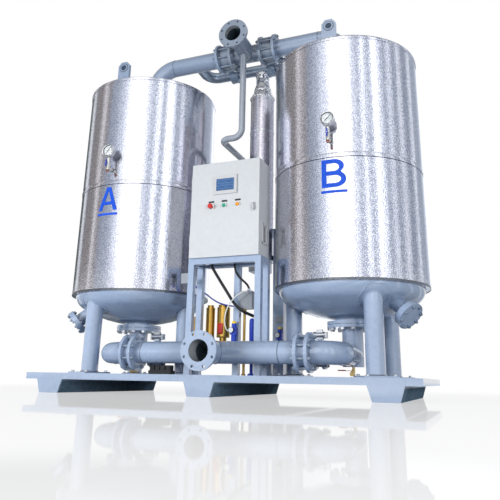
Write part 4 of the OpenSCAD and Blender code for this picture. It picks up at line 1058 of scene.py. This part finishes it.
operator_panel()
door_buttons()
door_seal()
cabinet_vent()
cabinet_gear()


# Pipework trim

PIPE_RADIUS = 0.0841
HEADER_Y, HEADER_Z = -0.580, 0.322
OUTLET_Z = 3.228
INLET_X, INLET_FACE = 0.057, -0.886
OUTLET_X, OUTLET_FACE = 0.040, -0.414
FLANGE_THICKNESS = 0.024
ELBOW = 0.229
RISER_ELBOWS = {"a": ELBOW, "b": 0.180}
BEAD, FLANGE_BEAD, SADDLE_BEAD = 0.0030, 0.0040, 0.0034
BORE_STEPS = 64
HOT_LINE_Y = 0.304
HOT_LINE_RADIUS = 0.0550
HOT_VALVES_X = (-0.228, 0.185)
HOT_VALVE_HALF = 0.041
HOT_VALVE_BOLTS = 0.078
CLAD_JOINTS_X = (-0.410, -0.330, -0.130, -0.040, 0.290, 0.400, 0.490)
CLAD_ELBOWS_X, CLAD_ELBOWS_Y = (-0.525, 0.605), 0.189
CLAD_BEAD = 0.0022
HEADER_WELDS_X = (0.575, -0.567)


def circle_steps():
    return [math.radians(step * 7.5) for step in range(49)]


def pipe_welds():
    welds = bmesh.new()
    for x in HEADER_WELDS_X:
        bead(welds, (x, HEADER_Y, HEADER_Z), (1, 0, 0), PIPE_RADIUS, BEAD)
    for name, bend in RISER_ELBOWS.items():
        x = TOWERS[name]
        toward = 1 if x < 0 else -1
        for place, axis in (
                ((x + toward * bend, HEADER_Y, HEADER_Z), (1, 0, 0)),
                ((x, HEADER_Y + bend, HEADER_Z), (0, 1, 0)),
                ((x + toward * ELBOW, TOWER_Y, OUTLET_Z), (1, 0, 0)),
                ((x, TOWER_Y, OUTLET_Z - ELBOW), (0, 0, 1))):
            bead(welds, place, axis, PIPE_RADIUS, BEAD)
    bead(welds, (INLET_X, INLET_FACE + FLANGE_THICKNESS, HEADER_Z), (0, 1, 0), PIPE_RADIUS, FLANGE_BEAD)
    bead(welds, (OUTLET_X, OUTLET_FACE + FLANGE_THICKNESS, OUTLET_Z), (0, 1, 0), PIPE_RADIUS, FLANGE_BEAD)
    for x, y, z in ((INLET_X, HEADER_Y, HEADER_Z), (OUTLET_X, TOWER_Y, OUTLET_Z)):
        saddle = [Vector((x + PIPE_RADIUS * math.cos(turn), y - abs(PIPE_RADIUS * math.cos(turn)),
                          z + PIPE_RADIUS * math.sin(turn))) for turn in circle_steps()]
        seam(welds, saddle, SADDLE_BEAD)
    # the weld beads carry painted shade
    settle("pipe_weld_beads", welds, WELD_SHADED)


def pipe_bores():
    mouths, shaded_bores = new_meshes(2)
    for x, y, z, mouth, end in (
            (INLET_X, INLET_FACE, HEADER_Z, 0.120, -0.60), (OUTLET_X, OUTLET_FACE, OUTLET_Z, 0.045, -0.06)):
        into = facing((0, 1, 0), (x, y, z))
        revolve(mouths, [(0.0785, 0.0), (0.0786, mouth)], into, BORE_STEPS)
        # past the mouth, painted shade lines the bore
        revolve(shaded_bores, [(0.0786, mouth), (0.0788, end - y)], into, BORE_STEPS)
    settle("pipe_bore_mouths", mouths, BORE_MOUTH)
    settle("pipe_bore_shaded_depths", shaded_bores, BORE_SHADE)


def hot_line_trim():
    """Flanges of the two valves in the regeneration line, and the joints in its cladding."""
    sleeves, joints = new_meshes(2)
    flange = closed((0.060, -0.041), (0.092, -0.041), (0.092, -0.026), (0.0885, -0.022), (0.0885, 0.022),
                    (0.092, 0.026), (0.092, 0.041), (0.060, 0.041))
    for x in HOT_VALVES_X:
        revolve(sleeves, flange, facing((1, 0, 0), (x, HOT_LINE_Y, OUTLET_Z)))
        for step in range(8):
            turn = math.radians(step * 45 + 22)
            y = HOT_LINE_Y + HOT_VALVE_BOLTS * math.cos(turn)
            z = OUTLET_Z + HOT_VALVE_BOLTS * math.sin(turn)
            for side in (1, -1):
                hexagon(sleeves, (x + side * HOT_VALVE_HALF, y, z), (side, 0, 0), 0.0095, 0.009)
    settle("regeneration_valve_flanges", sleeves, VALVE)
    for xs, y, axis in ((CLAD_JOINTS_X, HOT_LINE_Y, (1, 0, 0)), (CLAD_ELBOWS_X, CLAD_ELBOWS_Y, (0, 1, 0))):
        for x in xs:
            bead(joints, (x, y, OUTLET_Z), axis, HOT_LINE_RADIUS, CLAD_BEAD, 48)
    settle("regeneration_line_bands", joints, PIPE_CLAD)


# Legs, lower heads and lugs

LEG_CIRCLE = 0.490
LEG_RADIUS = 0.070
LEG_ANGLES = {"a": (-110, -4, 124), "b": (-60, 60, 180)}
LEG_PLATE = 0.012
LEG_BOLT = 0.098
DISH_RADIUS = 0.592
DISH_TOP = 0.850
KNUCKLE = 0.142
CROWN = 1.062
CROWN_TILT = math.asin((DISH_RADIUS - KNUCKLE) / (CROWN - KNUCKLE))
CROWN_CENTRE = DISH_TOP + (CROWN - KNUCKLE) * math.cos(CROWN_TILT)
DISH_REACH = DISH_RADIUS - 0.006
# (past the leg's pipe, size) of the welds where a leg meets the head
LEG_TOP_WELDS = ((0.001, 0.0065), (0.042, 0.0040))
LUG_FACE = 0.592
LUG_HOLE_Z = 2.954


def leg_spots():
    """Each leg's tower, turn and place on the skid."""
    for name, angles in LEG_ANGLES.items():
        x = TOWERS[name]
        for turn in map(spin, angles):
            yield x, turn, Vector((x, TOWER_Y, 0)) + turn @ Vector((LEG_CIRCLE, 0, 0))


def head_height(distance):
    """Height of the lower head's outside at that distance from the tower axis: a crown inside its knuckle."""
    if distance < CROWN * math.sin(CROWN_TILT):
        return CROWN_CENTRE - math.sqrt(CROWN ** 2 - distance ** 2)
    return DISH_TOP - math.sqrt(max(0.0, KNUCKLE ** 2 - (distance - DISH_RADIUS + KNUCKLE) ** 2))


def head_edge(x, spot, radius):
    """Points on the lower head round a circle that stands over that spot."""
    path = []
    for turn in circle_steps():
        out = spot + Vector((math.cos(turn), math.sin(turn), 0)) * radius - Vector((x, TOWER_Y, 0))
        if out.length > DISH_REACH:
            out *= DISH_REACH / out.length
        path.append(Vector((x + out.x, TOWER_Y + out.y, head_height(out.length))))
    return path


def head_profile():
    profile = [(DISH_RADIUS, DISH_TOP)]
    for step in range(1, 15):
        turn = (math.pi / 2 - CROWN_TILT) * step / 14
        profile.append((DISH_RADIUS - KNUCKLE * (1 - math.cos(turn)), DISH_TOP - KNUCKLE * math.sin(turn)))
    profile += [(distance, head_height(distance)) for distance in (0.47, 0.42, 0.36, 0.30)]
    return profile + [(0.288, 0.640)]


def leg_feet():
    welds, bolts = new_meshes(2)
    plate_top = skid_high.z + LEG_PLATE
    fillet = closed((LEG_RADIUS - 0.001, 0.010), (LEG_RADIUS + 0.0035, 0.007), (LEG_RADIUS + 0.009, 0.0),
                    (LEG_RADIUS - 0.001, 0.0))
    for _, turn, spot in leg_spots():
        revolve(welds, fillet, at(spot.x, spot.y, plate_top), 40)
        for dx in (-LEG_BOLT, LEG_BOLT):
            for dy in (-LEG_BOLT, LEG_BOLT):
                x, y, _ = spot + turn @ Vector((dx, dy, 0))
                revolve(bolts, [(0, 0.003), (0.016, 0.003), (0.017, 0.0), (0, 0.0)], at(x, y, plate_top), 20)
                hexagon(bolts, (x, y, plate_top + 0.003), (0, 0, 1), 0.0125, 0.010)
    # the leg fillets carry painted shade
    settle("leg_weld_fillets", welds, WELD_SHADED)
    settle("leg_anchor_bolts", bolts, ZINC)


def vessel_trim():
    """Lower heads with the legs' pads, the rings that close the jackets below, and the lugs' eyes."""
    welds, dishes, skirts, eyes, plugs = new_meshes(5)
    for x, _, spot in leg_spots():
        for past, size in LEG_TOP_WELDS:
            seam(welds, head_edge(x, spot, LEG_RADIUS + past), size)
    for x in TOWERS.values():
        revolve(dishes, head_profile(), at(x, TOWER_Y, 0), ROUND)
        revolve(skirts, closed((0.6215, 0.8355), (0.6215, 0.8385), (0.5900, 0.8385), (0.5900, 0.8355)),
                at(x, TOWER_Y, 0), ROUND)
        for side in (-1, 1):
            face = facing((0, side, 0), (x, TOWER_Y + side * (LUG_FACE + 0.004), LUG_HOLE_Z))
            revolve(eyes, closed((0.0380, -0.004), (0.0440, -0.004), (0.0430, 0.0008), (0.0405, 0.0016),
                                 (0.0380, 0.0008)), face, 40)
            revolve(plugs, [(0, -0.003), (0.0262, -0.003), (0.0262, -0.030), (0, -0.030)], face, 32)
    settle("leg_top_welds", welds, PAINT)
    settle("lower_head_dishes", dishes, PAINT)
    # the closing rings carry painted shade
    settle("jacket_closing_rings", skirts, CRIMP_SHADE)
    # the eye rings carry painted shade
    settle("lifting_eye_rings", eyes, WELD_SHADED)
    settle("lifting_eye_plugs", plugs, PLUG)


pipe_welds()
pipe_bores()
hot_line_trim()
leg_feet()
vessel_trim()


# Heater and small fittings

HEATER_X, HEATER_RADIUS = 0.076, 0.118
FOIL_PROFILE = [
    (0.1182, 2.872), (0.1215, 2.876), (0.1212, 2.892), (0.104, 2.914), (0.093, 2.930), (0.086, 2.948),
    (0.083, 2.972), (0.083, 2.992), (0.073, 3.010), (0.064, 3.036), (0.060, 3.070), (0.060, 3.105),
    (0.064, 3.135), (0.072, 3.160), (0.062, 3.176),
]
HEATER_BANDS_Z = (1.62, 2.06, 2.50, 2.868)
REGULATORS = ((0.105, -0.320), (0.301, 0.254))
REGULATOR_DIAL_Z, REGULATOR_KNOB_Z = 0.506, 0.559
RIGID_CONDUIT_SPOT, FILTER_SPOT = (0.170, -0.295, 0), (0.232, -0.285, 0)
SILENCER_Y, SILENCER_BASE = -0.190, HEADER_Z + 0.140
# (x, radius, height) of each silencer's plain part
SILENCERS = ((-0.186, 0.037, 0.248), (-0.064, 0.054, 0.248), (-0.335, 0.030, 0.154))
# (place, axis, size) of the gland at each end of each flexible line
GLANDS = (
    ((-0.100, -0.390, 1.083), (0, 0, -1), 0.019), ((0.076, 0.250, 1.090), (0, 0, -1), 0.019),
    ((-0.295, -0.440, 0.925), (0, 1, 0), 0.0105), ((0.105, -0.270, 0.715), (0, 1, 0), 0.0105),
    ((0.092, -0.350, 1.083), (0, 0, -1), 0.014), ((0.206, -0.297, 0.826), (0, 0, 1), 0.014),
    ((0.225, -0.325, 0.806), (0, -1, 0), 0.009), ((0.080, -0.355, 0.498), (-1, 0, 0), 0.009),
)


def heater_foil():
    """Crumpled foil wrapped round the neck between the heater and the hot air line."""
    mesh = bmesh.new()
    x = middle("heater_casing").x
    revolve(mesh, FOIL_PROFILE, at(x, HOT_LINE_Y, 0), 72)
    bmesh.ops.subdivide_edges(mesh, edges=mesh.edges[:], cuts=1, use_grid_fill=True)
    for vert in mesh.verts:
        out = Vector((vert.co.x - x, vert.co.y - HOT_LINE_Y, 0)).normalized()
        crease = abs(noise.noise(vert.co * 26.0)) * 0.010 + abs(noise.noise(vert.co * 55.0)) * 0.006
        vert.co += out * crease + Vector((0, 0, noise.noise(vert.co * 33.0) * 0.004))
    settle("heater_neck_foil", mesh, FOIL, smooth=False)


def heater_bands():
    """Joint bands on the heater's cladding, with their screws."""
    bands, screws = new_meshes(2)
    band = closed((0.0003, -0.014), (0.0022, -0.012), (0.0026, 0.0), (0.0022, 0.012), (0.0003, 0.014))
    for level in HEATER_BANDS_Z:
        revolve(bands, [(HEATER_RADIUS + out, level + up) for out, up in band],
                at(HEATER_X, HOT_LINE_Y, 0), 72)
        for step in range(8):
            out = spoke(step * 45 + 12)
            spot = Vector((HEATER_X, HOT_LINE_Y, level)) + out * (HEATER_RADIUS + 0.0024)
            dome(screws, spot, out, 0.005, 0.003)
    settle("heater_cladding_bands", bands, CLAD)
    settle("heater_cladding_screws", screws, ZINC)


def stand_fittings():
    """Regulator dials and knobs, the rigid conduit, the filter bowl, and the silencers' sleeves and clips."""
    dials, rims, knobs, rigid, bowl, sleeves, clips = new_meshes(7)
    for x, y in REGULATORS:
        face = facing((0, -1, 0), (x - 0.012, y - 0.0605, REGULATOR_DIAL_Z))
        revolve(dials, [(0, 0.0135), (0.0215, 0.0135), (0.0215, 0.0), (0, 0.0)], face, 32)
        revolve(rims, closed((0.0205, 0.012), (0.0212, 0.0152), (0.0232, 0.0155), (0.0240, 0.013),
                             (0.0240, 0.0), (0.0205, 0.0)), face, 32)
        revolve(knobs, [(0, 0.020), (0.010, 0.020), (0.0165, 0.016), (0.0185, 0.002), (0.0185, -0.006),
                        (0, -0.006)], at(x, y - 0.035, REGULATOR_KNOB_Z), 20)
    settle("regulator_dials", dials, DIAL)
    settle("regulator_dial_rims", rims, BLACK)
    settle("regulator_knobs", knobs, YELLOW)
    deck = skid_high.z
    revolve(rigid, [(0, deck), (0.017, deck), (0.017, deck + 0.012), (0.0105, deck + 0.016), (0.0105, 0.648),
                    (0.0155, 0.650), (0.0155, 0.676), (0, 0.676)], at(*RIGID_CONDUIT_SPOT), 24)
    settle("rigid_conduit", rigid, GOLD)
    revolve(bowl, [(0, deck), (0.030, deck), (0.030, deck + 0.014), (0.0135, deck + 0.020), (0.0135, 0.330),
                   (0.0200, 0.345), (0.0215, 0.560), (0.0200, 0.590), (0.012, 0.604), (0, 0.606)],
            at(*FILTER_SPOT), 32)
    settle("filter_bowl", bowl, BLUE)
    for x, radius, tall in SILENCERS:
        wall = radius + 0.0012
        revolve(sleeves, [(radius - 0.002, 0.0), (wall - 0.001, 0.0), (wall, 0.002), (wall, 0.010),
                          (wall - 0.0008, 0.013), (wall - 0.0008, tall - 0.013), (wall, tall - 0.010),
                          (wall, tall - 0.002), (wall - 0.001, tall), (radius - 0.002, tall)],
                at(x, SILENCER_Y, SILENCER_BASE))
    settle("silencer_sleeves", sleeves, GOLD)
    bar(clips, (0.030, 0.022, 0.070), at(-0.291, -0.197, 0.594), 0.004)
    bar(clips, (0.044, 0.016, 0.086), at(-0.064, -0.2505, 0.532), 0.004)
    settle("silencer_clips", clips, RED)


def hose_glands():
    mesh = bmesh.new()
    for place, axis, size in GLANDS:
        hexagon(mesh, place, axis, size, size * 0.7)
        revolve(mesh, closed((size * 0.70, size * 0.7), (size * 0.86, size * 0.7), (size * 0.84, size * 1.3),
                             (size * 0.70, size * 1.45)), facing(axis, place), 24)
    settle("hose_glands", mesh, ZINC)


heater_foil()
heater_bands()
stand_fittings()
hose_glands()
